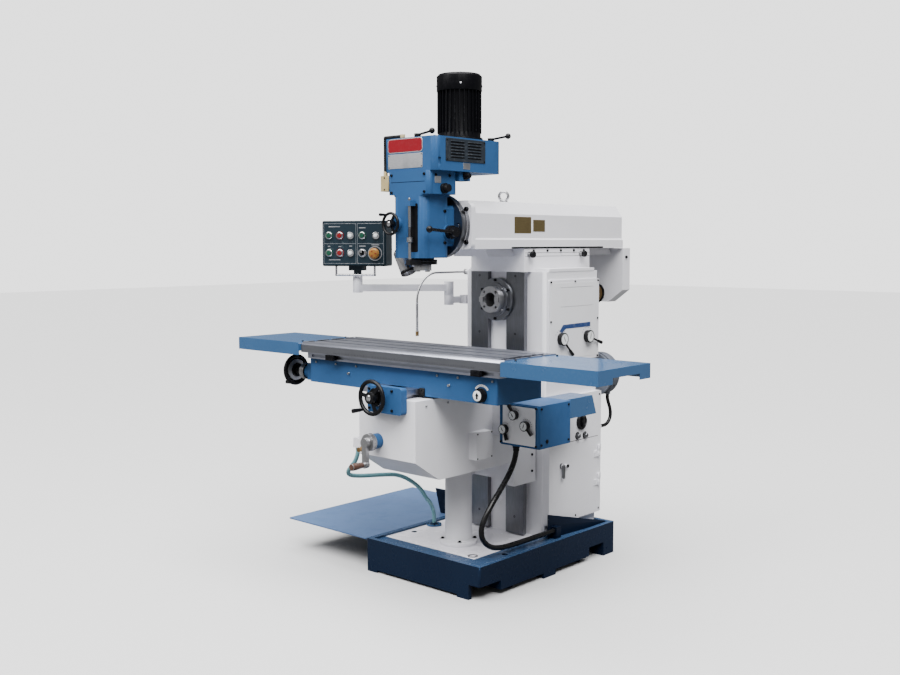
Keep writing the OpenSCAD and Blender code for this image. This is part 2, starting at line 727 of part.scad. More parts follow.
// feed gearbox on the right of the knee with its pale front panel
module feed_box() {
  color(blue) {
    difference() {
      union() {
        slab(fbox_x0, fbox_x1, fbox_y0 + 8, fbox_y1, fbox_z0, fbox_z1, 10);
        along_y(fbox_y0, fbox_y0 + 8) rounded(fbox_x0 + 4, fbox_x1 - 4, fbox_z0 + 4, fbox_z1 - 4, 6);
        rod_z(gland2_x, gland2_y, 20, fbox_z0 - 8, fbox_z0 + 1);
      }
      for (p = feed_dials) rod_y(fbox_x0 + p[0], fbox_z1 + p[1], 8 + run_gap, fbox_y0 - 1, fbox_y0 + 40);
    }
  }
}

// hood over the table feed motor behind the feed gearbox
module feed_motor() {
  x = (fbox_x0 + fbox_x1) / 2 + 10;
  z = (fbox_z0 + fbox_z1) / 2 + 3;
  color(blue) along_x(x - 64, x + 64)
    polygon([[fbox_y1, z], [fbox_y1 + 258, z], [fbox_y1 + 224, z + 92], [fbox_y1, z + 92]]);
}

// bearing bracket of the cross screw and the knee crank on the front of the knee
module wheel_bracket() {
  color(blue) difference() {
    union() {
      along_y(knee_y0 - 34, knee_y0) rounded(cross_x - 78, cross_x + 130, cross_z - 72, cross_z + 45, 14);
      rod_y(cross_x, cross_z, 34, knee_y0 - 50, knee_y0 - 34);
      rod_y(crank_x, crank_z, 34, knee_y0 - 40, knee_y0);
    }
    rod_y(cross_x, cross_z, 14 + run_gap, knee_y0 - 51, knee_y0 + 1);
    rod_y(crank_x, crank_z, 12 + run_gap, knee_y0 - 41, knee_y0 + 1);
  }
}

// elevating screw hung from the knee
module elevating_screw() {
  color(steel) {
    rod_z(0, post_y, screw_r, deck_z + 150, knee_top - 60);
    rod_z(0, post_y, screw_r + 10, knee_top - 60, knee_top - 14 - slide_gap);
  }
}

// crank that lifts the knee
module knee_crank() {
  y1 = knee_y0 - 40 - slide_gap;
  color(iron) {
    rod_y(crank_x, crank_z, 12, y1 - 10, knee_y0 + 40);
    rod_y(crank_x, crank_z, 38, y1 - 26, y1);
    along_y(y1 - 46, y1 - 26) {
      translate([crank_x, crank_z]) circle(22);
      translate([crank_x - 13, crank_z - crank_l]) square([26, crank_l]);
      translate([crank_x, crank_z - crank_l]) circle(17);
    }
    translate([crank_x, y1 - 46, crank_z - crank_l]) rotate([90, 0, 0]) cylinder(r1 = 10, r2 = 15, h = 74);
  }
}

// handwheel of the cross feed
module cross_handwheel() {
  y1 = knee_y0 - 50 - slide_gap;
  color(black) {
    rod_y(cross_x, cross_z, 14, y1 - 40, knee_y0 - 1);
    rod_y(cross_x, cross_z, 40, y1 - 16, y1);
    translate([cross_x, y1 - 34, cross_z]) rotate([90, 40, 0]) handwheel(cross_r, 9, 26, 34, 14, 10, 64, 3);
  }
}

module feed_lever(p, turn) {
  translate([fbox_x0 + p[0], fbox_y0 - slide_gap, fbox_z1 + p[1]]) rotate([90, 0, 0]) {
    dial_lever(dial_r - 9, 22, dial_r + 12, turn);
    translate([0, 0, -36]) cylinder(r = 8, h = 37);
  }
}
// levers on the front of the feed gearbox
module feed_lever_top() { color(black) feed_lever(feed_dials[0], 125); }
module feed_lever_left() { color(black) feed_lever(feed_dials[1], -70); }
module feed_lever_right() { color(black) feed_lever(feed_dials[2], -45); }

// saddle beam that carries the table screw, straddling the knee ways
module saddle() {
  color(blue) difference() {
    union() {
      slab(-saddle_left, saddle_right, saddle_y0, saddle_y1, saddle_z0, saddle_z1, 6);
      along_x(-saddle_left, saddle_right) translate([table_y, 0])
        dovetail(guide_w1, guide_w0, saddle_z1 - 1, saddle_z1 + guide_rise);
      slab(-saddle_left - 60, -saddle_left + 1, lead_y - 40, lead_y + 40, lead_z - 36, lead_z + 44, 6);
      rod_x(lead_y, lead_z, 34, -saddle_left - 90, -saddle_left - 59);
    }
    block(-rail_x - slide_gap, rail_x + slide_gap, saddle_y0 - 1, saddle_y1 + 1, saddle_z0 - 1, rail_top + slide_gap);
    block(-saddle_left + 30, -rail_x - 60, saddle_y0 + 24, saddle_y1 - 24, saddle_z0 - 1, saddle_z1 - 22);
    block(rail_x + 60, saddle_right - 30, saddle_y0 + 24, saddle_y1 - 24, saddle_z0 - 1, saddle_z1 - 22);
    rod_x(lead_y, lead_z, 14 + run_gap, -saddle_left - 91, -saddle_left + 31);
    rod_y(saddle_right - 84, lead_z, 8 + run_gap, saddle_y0 - 1, saddle_y0 + 25);
  }
}

// feed direction knob on the saddle front
module feed_knob() {
  translate([saddle_right - 84, saddle_y0 - slide_gap, lead_z]) rotate([90, 0, 0]) color(black) {
    cylinder(r = dial_r, h = 16);
    translate([0, 0, 16]) cylinder(r = dial_r * 0.8, h = 14);
    translate([0, 0, -22]) cylinder(r = 8, h = 23);
  }
}

// handwheel and screw end of the table feed
module table_handwheel() {
  color(black) {
    rod_x(lead_y, lead_z, 14, wheel_x - 16, -saddle_left + 20);
    rod_x(lead_y, lead_z, 40, -saddle_left - 122, -saddle_left - 90 - slide_gap);
    rod_x(lead_y, lead_z, 22, wheel_x + 16, -saddle_left - 122);
    translate([wheel_x, lead_y, lead_z]) rotate([0, -90, 0]) rotate([0, 0, -90])
      handwheel(wheel_r, 10, 30, 34, 14, 10, 70, 3);
  }
}

// table with T-slots, end gutters and the trip dog groove along its front
module table_top() {
  color(steel) difference() {
    union() {
      block(-table_x, table_x, table_y0, table_y1, table_z1 - 50, table_z1);
      block(-table_x + 30, table_x - 30, table_y0 + 16, table_y1 - 16, table_z0, table_z1 - 49);
    }
    along_x(-table_x - 1, table_x + 1) translate([table_y, 0])
      dovetail(guide_w1 + 4 * slide_gap, guide_w0 + 4 * slide_gap, table_z0 - 1, table_z0 + guide_rise);
    for (k = [-1, 0, 1]) {
      block(-table_x - 1, table_x + 1, table_y + k * slot_pitch - slot_w / 2, table_y + k * slot_pitch + slot_w / 2,
        table_z1 - 22, table_z1 + 1);
      block(-table_x - 1, table_x + 1, table_y + k * slot_pitch - slot_w * 0.83, table_y + k * slot_pitch + slot_w * 0.83,
        table_z1 - 36, table_z1 - 21);
    }
    for (s = [-1, 1]) slab(s > 0 ? table_x - 46 : -table_x + 12, s > 0 ? table_x - 12 : -table_x + 46,
      table_y0 + 24, table_y1 - 24, table_z1 - 12, table_z1 + 1, 10);
    along_x(-table_x - 1, table_x + 1)
      polygon([[table_y0 - 1, table_z1 - 13], [table_y0 + 13, table_z1 + 1], [table_y0 - 1, table_z1 + 1]]);
    block(-table_x + 60, table_x - 60, table_y0 + 15, table_y0 + 24, table_z0 + 8, table_z0 + 20);
  }
}

// folded sheet trays at both ends of the table
module end_trays() {
  z1 = table_z1 - 4;
  y0 = table_y0 - 16;
  y1 = table_y1 - 8;
  color([0.40, 0.58, 0.74]) for (s = [-1, 1]) mirror([s < 0 ? 1 : 0, 0, 0]) {
    x0 = table_x;
    x1 = x0 + end_tray_l;
    difference() {
      union() {
        block(x0, x1, y0, y1, z1 - sheet_t, z1);
        block(x0, x1, y0, y0 + sheet_t, z1 - flange_h, z1 - sheet_t);
        block(x0, x1, y1 - sheet_t, y1, z1 - flange_h, z1 - sheet_t);
        block(x1 - sheet_t, x1, y0 + sheet_t, y1 - sheet_t, z1 - flange_h, z1 - sheet_t);
        block(x0, x0 + sheet_t, y0 + sheet_t, y1 - sheet_t, z1 - flange_h + 20, z1 - sheet_t);
      }
      block(x1 - sheet_t - 1, x1 + 1, table_y - 96, table_y + 96, z1 - flange_h - 1, z1 - flange_h + 24);
    }
  }
}

// trip dogs in the groove along the table front
module trip_dogs() {
  color(black) for (x = dog_xs) {
    block(x - 26, x + 26, table_y0 - 8, table_y0 + 16, table_z0 + 2, table_z0 + 27);
    block(x - 20, x + 20, table_y0 + 16, table_y0 + 24, table_z0 + 8.2, table_z0 + 19.8);
  }
}

// ram with its face plate and the dovetail that slides in the column
module ram() {
  body = ram_z1 - 58;
  color(white) difference() {
    union() {
      along_y(ram_y0 + face_t, ram_y1) polygon([[-ram_x, ram_z0], [ram_x, ram_z0], [ram_x, ram_z0 + 42],
        [ram_x - 8, ram_z0 + 50], [ram_x - 8, body], [ram_x - 46, ram_z1], [-ram_x + 46, ram_z1],
        [-ram_x + 8, body], [-ram_x + 8, ram_z0 + 50], [-ram_x, ram_z0 + 42]]);
      along_y(ram_y0, ram_y0 + face_t + 1) rounded(-ram_x, ram_x, ram_z0, ram_z1 - 12, 24);
      along_y(ram_y0 + 190, ram_y1 - 20) dovetail(tail_w0, tail_w1, ram_z0 - tail_h, ram_z0 + 1);
    }
    along_y(ram_y0 + 70, ram_y1 + 1) rounded(-ram_x + 56, ram_x - 56, ram_z0 + 50, ram_z1 - 50, 20);
    rod_y(0, swivel_z, 40 + run_gap, ram_y0 - 1, ram_y0 + 71);
    rod_z(0, 68, 12, ram_z1 - 40, ram_z1 + 1);
  }
}

// lifting eye on the ram
module lifting_eye() {
  color(steel) {
    rod_z(0, 68, 12, ram_z1 - 36, ram_z1);
    rod_z(0, 68, 20, ram_z1, ram_z1 + 10);
    translate([0, 68, ram_z1 + 34]) rotate([90, 0, 42]) rotate_extrude() translate([22, 0]) circle(6.5);
    rod_z(0, 68, 8, ram_z1 + 9, ram_z1 + 14);
  }
}

// arbor support parked on the back of the ram
module arbor_support() {
  y0 = ram_y1 - 24;
  y1 = y0 + 95;
  z1 = ram_z0 - tail_h;
  color(white) difference() {
    union() {
      along_y(y0 + 25, y1) polygon([[-ram_x, ram_z0 - 2], [-ram_x, spindle_z + 20], [-ram_x + 90, spindle_z - 46],
        [ram_x - 90, spindle_z - 46], [ram_x, spindle_z + 20], [ram_x, ram_z0 - 2]]);
      along_y(y0 + 25, y1) rounded(-ram_x + 60, ram_x - 60, ram_z0 + 54, ram_z1 - 54, 18);
      block(-70, 70, y0 + 25, y1, ram_z0 - 3, ram_z0 + 60);
      along_y(y0 - 90, y0 + 26) rounded(-ram_x + 57, ram_x - 57, ram_z0 + 51, ram_z1 - 51, 18);
    }
    rod_y(0, spindle_z, 40, y0 + 24, y1 + 1);
    block(-3, 3, y0 + 24, y1 + 1, spindle_z - 47, spindle_z);
  }
}

// bronze bush of the arbor support
module arbor_bush() {
  y0 = ram_y1 + 1;
  color([0.65, 0.45, 0.25]) difference() {
    union() {
      rod_y(0, spindle_z, 40, y0, y0 + 70);
      rod_y(0, spindle_z, 48, y0 - 10, y0);
    }
    rod_y(0, spindle_z, 24, y0 - 11, y0 + 71);
  }
}

// swivel disc that carries the head on the ram face
module swivel_disc() {
  color(iron) {
    difference() {
      rod_y(0, swivel_z, swivel_r, disc_y0, disc_y1);
      for (a = [0, 90, 180, 270]) translate([0, 0, swivel_z]) rotate([0, a, 0])
        rod_y(swivel_r - 26, 0, 13, disc_y0 - 1, disc_y0 + 16);
    }
    rod_y(0, swivel_z, 40, disc_y1, ram_y0 + 60);
    for (a = [0, 90, 180, 270]) translate([0, 0, swivel_z]) rotate([0, a, 0])
      rod_y(swivel_r - 26, 0, 9, disc_y0 - 4, disc_y0 + 16);
  }
}

// quill housing
module head_casting() {
  color(blue) difference() {
    union() {
      slab(-head_x, head_x, head_y0, disc_y0 - 30, head_z0, head_z1, 34);
      along_y(disc_y0 - 60, disc_y0) rounded(-head_x + 6, head_x - 6, swivel_z - 92, swivel_z + 92, 20);
      rod_y(fine_x, fine_z, 30, head_y0 - 22, head_y0 + 40);
      rod_x(lever_y, lever_z, 34, head_x - 6, head_x + 8);
      block(stop_x - 18, stop_x + 18, stop_y - 16, head_y0 + 10, head_z1 - 44, head_z1 - 20);
      rod_x(lamp_y, lamp_z, 16, -head_x - 14, -head_x + 4);
    }
    rod_z(0, head_y, quill_r + run_gap, head_z0 - 1, head_z1 + 1);
    rod_y(fine_x, fine_z, 12 + run_gap, head_y0 - 23, head_y0 + 20);
    rod_x(lever_y, lever_z, 14 + run_gap, head_x - 20, head_x + 9);
    rod_x(lamp_y, lamp_z, 8 + run_gap, -head_x - 15, -head_x - 4);
    block(stop_x - 8, stop_x + 8, stop_y - 10, stop_y + 10, head_z1 - 45, head_z1 - 19);
  }
}

// gear housing between the quill housing and the belt cover
module gear_housing() {
  color(blue) difference() {
    union() {
      slab(-gear_x, gear_x, gear_y0, gear_y1, head_z1 + 8, gear_z1, 22);
      slab(-head_x, head_x, gear_y0, gear_y1 - 4, head_z1, head_z1 + 9, 24);
      slab(-belt_x + 10, belt_x - 10, belt_y0 + 10, belt_y1 - 10, gear_z1, gear_z1 + plate_t, 20);
      block(gear_x - 44, knob2_x, gear_y1 - 1, gear_y1 + 72, gear_z1 - 40, gear_z1);
    }
    rod_z(0, head_y, shaft_r + 6, head_z1 - 1, gear_z1 - 6);
    rod_x(knob_y, knob_z, 8 + run_gap, gear_x - 40, gear_x + 1);
    rod_x(knob2_y, knob2_z, 8 + run_gap, knob2_x - 42, knob2_x + 1);
  }
}

// belt cover on top of the head
module belt_cover() {
  color(blue) difference() {
    slab(-belt_x, belt_x, belt_y0, belt_y1, gear_z1, belt_z1, 30);
    slab(-belt_x + 10, belt_x - 10, belt_y0 + 10, belt_y1 - 10, gear_z1 - 1, belt_z1 - 10, 20);
    rod_z(0, motor_y, 60, belt_z1 - 11, belt_z1 + 1);
    rod_z(brake_x, brake_y, 7 + run_gap, belt_z1 - 8, belt_z1 + 1);
    rod_z(range_x, range_y, 7 + run_gap, belt_z1 - 8, belt_z1 + 1);
    slab(belt_x - 5, belt_x + 1, belt_y0 + 19, belt_y0 + 36, gear_z1 + 26, gear_z1 + 56, 5);
  }
}

// spindle motor with cooling fins and fan cowl
module motor() {
  body_r = motor_r - 12;
  color(black) {
    rod_z(0, motor_y, motor_r + 4, belt_z1, belt_z1 + 16);
    rod_z(0, motor_y, motor_r - 6, belt_z1 + 16, belt_z1 + 40);
    translate([0, motor_y, belt_z1 + 40]) linear_extrude(motor_h - 116) {
      circle(body_r);
      for (k = [0:29]) rotate(k * 12) translate([body_r - 2, -1.8]) square([12, 3.6]);
    }
    rod_z(0, motor_y, motor_r, motor_z1 - 77, motor_z1 - 10);
    translate([0, motor_y, motor_z1 - 10]) cylinder(r1 = motor_r, r2 = motor_r - 10, h = 10);
    rod_z(0, motor_y, 19, belt_z1 - 70, belt_z1);
  }
}

// limit switch on the left of the head with its conduit
module limit_switch() {
  x = -gear_x - 28;
  y = gear_y0 + 30;
  xc = -belt_x - 10;
  color([0.62, 0.52, 0.32]) {
    slab(x - 24, -gear_x, y - 22, y + 22, gear_z1 - 84, gear_z1 - 14, 4);
    rod_z(xc, y, 9.5, gear_z1 - 14, gear_z1 + 6);
    rod_z(xc, y, 8, gear_z1 + 6, belt_z1 + 9);
    translate([xc, y, belt_z1 + 9]) sphere(8);
    rod_x(y, belt_z1 + 9, 8, xc, -60);
    rod_z(-60, y, 11, belt_z1, belt_z1 + 18);
  }
}

// quill with the black nose collar and the depth stop
module quill() {
  color(iron) difference() {
    union() {
      rod_z(0, head_y, quill_r, collar_z0, head_z1 - 16);
      rod_z(0, head_y, collar_r, collar_z0, collar_z1);
      block(stop_x - 12, stop_x + 12, stop_y - 12, head_y - 20, collar_z0, collar_z1);
      rod_z(stop_x, stop_y, 7, collar_z1 - 2, head_z1 - 10);
      rod_z(stop_x, stop_y, 13, head_z0 + 70, head_z0 + 92);
    }
    rod_z(0, head_y, shaft_r + run_gap, collar_z0 - 1, head_z1);
  }
}

// vertical spindle in the quill
module vertical_spindle() {
  color(steel) difference() {
    union() {
      rod_z(0, head_y, shaft_r, collar_z0 - slide_gap, gear_z1 - 14);
      rod_z(0, head_y, 40, nose_z0, collar_z0 - slide_gap);
      for (s = [-1, 1]) block(s > 0 ? 22 : -38, s > 0 ? 38 : -22, head_y - 8, head_y + 8, nose_z0 - 6, nose_z0 + 1);
    }
    rod_z(0, head_y, 8.5, nose_z0 - 1, gear_z1);
    translate([0, head_y, nose_z0 - 0.5]) cylinder(r1 = 22.2, r2 = 12, h = 68);
  }
}

// lever that brings the quill down
module quill_lever() {
  x = head_x + 8 + slide_gap;
  y = lever_y;
  z = lever_z;
  color(black) {
    rod_x(y, z, 14, head_x - 18, x + 2);
    rod_x(y, z, 30, x, x + 22);
    rod_x(y, z, 22, x + 22, x + 44);
    translate([x + 32, y, z]) rotate([86, 0, 0]) cylinder(r = 7, h = 160);
    translate([x + 32, y, z]) rotate([86, 0, 0]) translate([0, 0, 164]) sphere(15);
  }
}

// small handwheel of the fine quill feed
module fine_feed_wheel() {
  y1 = head_y0 - 22 - slide_gap;
  color(black) {
    rod_y(fine_x, fine_z, 12, y1 - 30, head_y0 + 10);
    translate([fine_x, y1 - 22, fine_z]) rotate([90, 150, 0]) handwheel(fine_r, 6.5, 18, 26, 12, 7, 40, 3);
  }
}

// selector knobs on the gear housing
module gear_knob_front() {
  color(black) {
    rod_x(knob_y, knob_z, 8, gear_x - 34, gear_x + slide_gap);
    rod_x(knob_y, knob_z, 22, gear_x + slide_gap, gear_x + 16);
    rod_x(knob_y, knob_z, 17, gear_x + 16, gear_x + 34);
  }
}
module gear_knob_rear() {
  color(black) {
    rod_x(knob2_y, knob2_z, 8, knob2_x - 36, knob2_x + slide_gap);
    rod_x(knob2_y, knob2_z, 16, knob2_x + slide_gap, knob2_x + 12);
    rod_x(knob2_y, knob2_z, 11, knob2_x + 12, knob2_x + 30);
  }
}

module ball_lever(x, y, turn, reach) {
  translate([x, y, belt_z1]) {
    translate([0, 0, -7]) cylinder(r = 7, h = 9);
    translate([0, 0, slide_gap]) cylinder(r = 15, h = 16);
    rotate([0, 0, turn]) translate([0, 0, 10]) rotate([0, 84, 0]) {
      cylinder(r = 5, h = reach);
      translate([0, 0, reach + 6]) sphere(13);
    }
  }
}
// levers on top of the belt cover
module brake_lever() { color(black) ball_lever(brake_x, brake_y, -8, 96); }
module range_lever() { color(black) ball_lever(range_x, range_y, 5, 90); }

// work lamp on a short arm under the left of the head
module work_lamp() {
  x = -head_x - 14 - slide_gap;
  y = lamp_y;
  z = lamp_z;
  color(steel) {
    rod_x(y, z, 8, x, -head_x - 6);
    rod_x(y, z, 15, x - 22, x);
    translate([x - 62, y, z - 36]) rotate([0, -28, 0]) {
      translate([0, 0, -74]) difference() {
        cylinder(r = 36, h = 110);
        translate([0, 0, -1]) cylinder(r = 32, h = 60);
      }
      translate([0, 0, 36]) cylinder(r1 = 36, r2 = 24, h = 14);
    }
    translate([x - 18, y, z]) rotate([0, -128, 0]) cylinder(r = 8, h = 30);
  }
}

// arm that carries the pendant
module boom_arm() {
  color(white) {
    rod_z(boom_x, boom_y, 12, boom_z - 98, boom_z - 40);
    rod_z(boom_x, boom_y, 24, boom_z - 52 + slide_gap, boom_z + 18);
    difference() {
      union() {
        translate([boom_x, boom_y, 0]) rotate([0, 0, boom_turn])
          block(10, boom_len, -20, 20, boom_z - 30, boom_z + 4);
        rod_z(pend_x, pend_y, 24, boom_z - 36, boom_z + 58);
      }
      rod_z(pend_x, pend_y, 12 + run_gap, boom_z - 20, boom_z + 59);
    }
  }
}

module on_pendant() {
  translate([pend_x, pend_y, pend_z0]) rotate([0, 0, pendant_yaw]) children();
}
// places of the controls on the pendant face, from its lower middle
row_hi = 152;
row_lo = 66;
col_a = -127;
col_b = -71;
col_d = 45;
col_e = 116;
face_y = -pendant_d / 2 - 12;

// control pendant with its lamps and a bail handle under it
module pendant() {
  w = pendant_w / 2;
  d = pendant_d / 2;
  color([0.11, 0.23, 0.30]) on_pendant() {
    difference() {
      union() {
        along_y(-d, d) rounded(-w, w, 0, pendant_h, 8);
        along_y(face_y + 2, -d) rounded(-w + 6, w - 6, 6, pendant_h - 6, 6);
        for (p = [[col_a, row_hi], [col_b, row_hi], [col_a, row_lo], [col_b, row_lo], [col_d, row_hi], [col_d, row_lo]])
          rod_y(p[0], p[1], button_r + 6, face_y - 5, face_y + 2);
        rod_y(col_e - 6, row_lo - 2, stop_r + 5, face_y - 3, face_y + 2);
        for (p = [[-15, row_hi], [-15, row_lo], [col_e, row_hi]]) {
          rod_y(p[0], p[1], button_r + 6, face_y - 4, face_y + 2);
          rod_y(p[0], p[1], button_r, face_y - 14, face_y - 4);
        }
      }
      for (p = [[col_a, row_hi], [col_b, row_hi], [col_a, row_lo], [col_b, row_lo], [col_d, row_hi]])
        rod_y(p[0], p[1], button_r + run_gap, face_y - 6, face_y + 26);
      rod_y(col_d, row_lo, button_r + run_gap, face_y - 6, face_y + 26);
      rod_y(col_e - 6, row_lo - 2, 14 + run_gap, face_y - 4, face_y + 30);
    }
    slab(-40, 40, -30, 30, -22, 0, 8);
    rod_z(0, 0, 12, pend_hang, -21);
    rod_z(0, 0, 20, boom_z + 58 + slide_gap - pend_z0, -21);
    for (s = [-1, 1]) rod_z(s * 100, face_y + 30, 5, -44, 1);
    rod_x(face_y + 30, -44, 5, -105, 105);
  }
}
pend_hang = boom_z - pend_z0 - 16;

module button(p, r, tall) {
  on_pendant() {
    rod_y(p[0], p[1], r, face_y - 5 - tall, face_y + 14);
  }
}
// push buttons of the pendant
module start_button() { color([0.1, 0.5, 0.2]) button([col_a, row_hi], button_r, 6); }
module stop_button() { color([0.7, 0.1, 0.1]) button([col_b, row_hi], button_r, 6); }
module feed_start_button() { color([0.1, 0.5, 0.2]) button([col_a, row_lo], button_r, 6); }
module feed_stop_button() { color([0.7, 0.1, 0.1]) button([col_b, row_lo], button_r, 6); }
module coolant_button() { color([0.1, 0.5, 0.2]) button([col_d, row_hi], button_r, 6); }

// rotary switch of the pendant
module mode_switch() {
  color(black) on_pendant() {
    rod_y(col_d, row_lo, button_r, face_y - 9, face_y + 14);
    block(col_d - 3.5, col_d + 3.5, face_y - 20, face_y - 8, row_lo - 15, row_lo + 15);
  }
}

// mushroom-headed emergency stop
module emergency_button() {
  color([0.75, 0.55, 0.1]) on_pendant() {
    rod_y(col_e - 6, row_lo - 2, 14, face_y - 14, face_y + 16);
    translate([col_e - 6, face_y - 14, row_lo - 2]) rotate([90, 0, 0]) {
      cylinder(r = stop_r, h = 9);
      translate([0, 0, 9]) cylinder(r1 = stop_r, r2 = stop_r - 8, h = 8);
    }
  }
}

// hose from the knee to the drain in the deck
module coolant_hose() {
  color([0.47, 0.65, 0.67]) tube_along(hose_path, hose_r, 12);
}

// conduit from the feed gearbox to the trough
module feed_conduit() {
  color(black) tube_along(conduit_path, conduit_r, 12);
}

// conduit from the rear motor to the back of the cabinet
module rear_conduit() {
  color(black) tube_along(loop_path, loop_r, 12);
}

base_casting();
chip_tray();
trough_cover();
column();
column_ways();
rear_motor();
screw_post();
cabinet_door();
horizontal_spindle();
speed_lever_left();
speed_lever_right();
nozzle_pipe();
knee();
knee_ways();
feed_box();
feed_motor();
wheel_bracket();
elevating_screw();
knee_crank();
cross_handwheel();
feed_lever_top();
feed_lever_left();
feed_lever_right();
saddle();
feed_knob();
table_handwheel();
table_top();
end_trays();
trip_dogs();
ram();
lifting_eye();
arbor_support();
arbor_bush();
swivel_disc();
head_casting();
gear_housing();
belt_cover();
motor();
limit_switch();
quill();
vertical_spindle();
quill_lever();
fine_feed_wheel();
gear_knob_front();
gear_knob_rear();
brake_lever();
range_lever();
work_lamp();
boom_arm();
pendant();
start_button();
stop_button();
feed_start_button();
feed_stop_button();
coolant_button();
mode_switch();
emergency_button();
coolant_hose();
feed_conduit();
rear_conduit();
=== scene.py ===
import bpy, bmesh, math
from mathutils import Vector, Matrix
from types import SimpleNamespace as Spec


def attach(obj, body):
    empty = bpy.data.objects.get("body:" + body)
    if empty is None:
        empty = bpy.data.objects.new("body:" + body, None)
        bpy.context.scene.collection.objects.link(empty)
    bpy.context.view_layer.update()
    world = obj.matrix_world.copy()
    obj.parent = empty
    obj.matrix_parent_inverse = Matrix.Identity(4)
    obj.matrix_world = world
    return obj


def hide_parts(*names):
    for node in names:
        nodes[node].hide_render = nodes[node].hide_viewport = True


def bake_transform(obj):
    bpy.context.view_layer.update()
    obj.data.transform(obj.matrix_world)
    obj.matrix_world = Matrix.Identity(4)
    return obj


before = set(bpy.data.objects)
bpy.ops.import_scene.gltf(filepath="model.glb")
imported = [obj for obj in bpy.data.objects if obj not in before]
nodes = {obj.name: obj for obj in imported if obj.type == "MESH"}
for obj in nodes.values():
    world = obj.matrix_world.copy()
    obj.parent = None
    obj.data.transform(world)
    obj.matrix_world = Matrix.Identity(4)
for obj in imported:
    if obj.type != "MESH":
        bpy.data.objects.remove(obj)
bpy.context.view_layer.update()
print("frame loaded,", len(nodes), "nodes")

# camera where the photograph was taken from, in metres and degrees
shot = Spec(place=(3.3155, -3.9885, 1.5821), turn=42.13, down=5.12, roll=0.09, lens=42.51, sensor=36.0)
camData = bpy.data.cameras.new("shotCamera")
camData.lens = shot.lens
camData.sensor_width = shot.sensor
cam = bpy.data.objects.new("shotCamera", camData)
cam.location = shot.place
cam.rotation_euler = [math.radians(a) for a in (90 - shot.down, shot.roll, shot.turn)]
bpy.context.scene.collection.objects.link(cam)
bpy.context.scene.camera = cam

# shader groups that the finishes share
socketKinds = {"c": "NodeSocketColor", "f": "NodeSocketFloat", "v": "NodeSocketVector"}
surfaceOut = (("Color", "c"), ("Roughness", "f"), ("Height", "f"))

def newGroup(name, takes):
    g = bpy.data.node_groups.new(name, "ShaderNodeTree")
    for label, kind, value in takes:
        socket = g.interface.new_socket(label, in_out="INPUT", socket_type=socketKinds[kind])
        socket.default_value = value
    for label, kind in surfaceOut:
        g.interface.new_socket(label, in_out="OUTPUT", socket_type=socketKinds[kind])
    return g, g.nodes.new("NodeGroupInput").outputs, g.nodes.new("NodeGroupOutput").inputs

# object coordinates, and how far a spot stands out as an edge or lies in a corner
def surfaceOf(tree):
    coords = tree.nodes.new("ShaderNodeTexCoord").outputs["Object"]
    return coords, tree.nodes.new("ShaderNodeNewGeometry").outputs["Pointiness"]

def noiseAt(tree, coords, scale, detail=3.0, rough=0.5):
    n = tree.nodes.new("ShaderNodeTexNoise")
    n.inputs["Scale"].default_value = scale
    n.inputs["Detail"].default_value = detail
    n.inputs["Roughness"].default_value = rough
    tree.links.new(coords, n.inputs["Vector"])
    return n.outputs["Fac"]

def rangeOf(tree, value, lo, hi, outLo=0.0, outHi=1.0):
    n = tree.nodes.new("ShaderNodeMapRange")
    n.clamp = True
    for label, v in zip(("From Min", "From Max", "To Min", "To Max"), (lo, hi, outLo, outHi)):
        n.inputs[label].default_value = v
    tree.links.new(value, n.inputs["Value"])
    return n.outputs["Result"]

def calc(tree, how, a, b):
    n = tree.nodes.new("ShaderNodeMath")
    n.operation = how
    for socket, v in zip(n.inputs, (a, b)):
        if isinstance(v, (int, float)):
            socket.default_value = v
        else:
            tree.links.new(v, socket)
    return n.outputs[0]

def times(tree, a, b):
    return calc(tree, "MULTIPLY", a, b)

def plus(tree, a, b):
    return calc(tree, "ADD", a, b)

def blendTone(tree, fac, a, b):
    n = tree.nodes.new("ShaderNodeMix")
    n.data_type = "RGBA"
    tree.links.new(fac, n.inputs["Factor"])
    tree.links.new(a, n.inputs[6])  # the colour sockets A and B
    tree.links.new(b, n.inputs[7])
    return n.outputs[2]

def makeCoat():
    g, i, o = newGroup("paintCoat",
        [("Tone", "c", (0.5, 0.5, 0.5, 1)), ("Shade", "c", (0.4, 0.4, 0.4, 1)),
         ("Chip Tone", "c", (0.3, 0.3, 0.3, 1)), ("Grime Tone", "c", (0.1, 0.09, 0.08, 1)),
         ("Mottle", "f", 0.4), ("Chips", "f", 0.5), ("Grime", "f", 0.3), ("Gloss", "f", 0.35)])
    coords, point = surfaceOf(g)
    cloud = rangeOf(g, noiseAt(g, coords, 3.2, 5), 0.35, 0.68)
    tone = blendTone(g, times(g, cloud, i["Mottle"]), i["Tone"], i["Shade"])
    edge = rangeOf(g, point, 0.53, 0.60)
    flake = rangeOf(g, noiseAt(g, coords, 70, 6, 0.65), 0.52, 0.60)
    chip = times(g, times(g, edge, flake), i["Chips"])  # paint lost along edges
    pit = rangeOf(g, point, 0.485, 0.44)
    smear = rangeOf(g, noiseAt(g, coords, 11, 7, 0.62), 0.50, 0.78)
    grime = times(g, calc(g, "MAXIMUM", times(g, smear, 0.55), pit), i["Grime"])  # dirt in noisy smears, and darker in concave corners
    tone = blendTone(g, grime, tone, i["Grime Tone"])
    tone = blendTone(g, chip, tone, i["Chip Tone"])
    rough = plus(g, i["Gloss"], times(g, smear, 0.12))
    peel = plus(g, times(g, noiseAt(g, coords, 260, 2), 0.5), times(g, noiseAt(g, coords, 30, 3), 0.6))
    g.links.new(tone, o["Color"])
    g.links.new(plus(g, rough, times(g, chip, 0.2)), o["Roughness"])
    g.links.new(calc(g, "SUBTRACT", peel, times(g, chip, 0.8)), o["Height"])
    return g

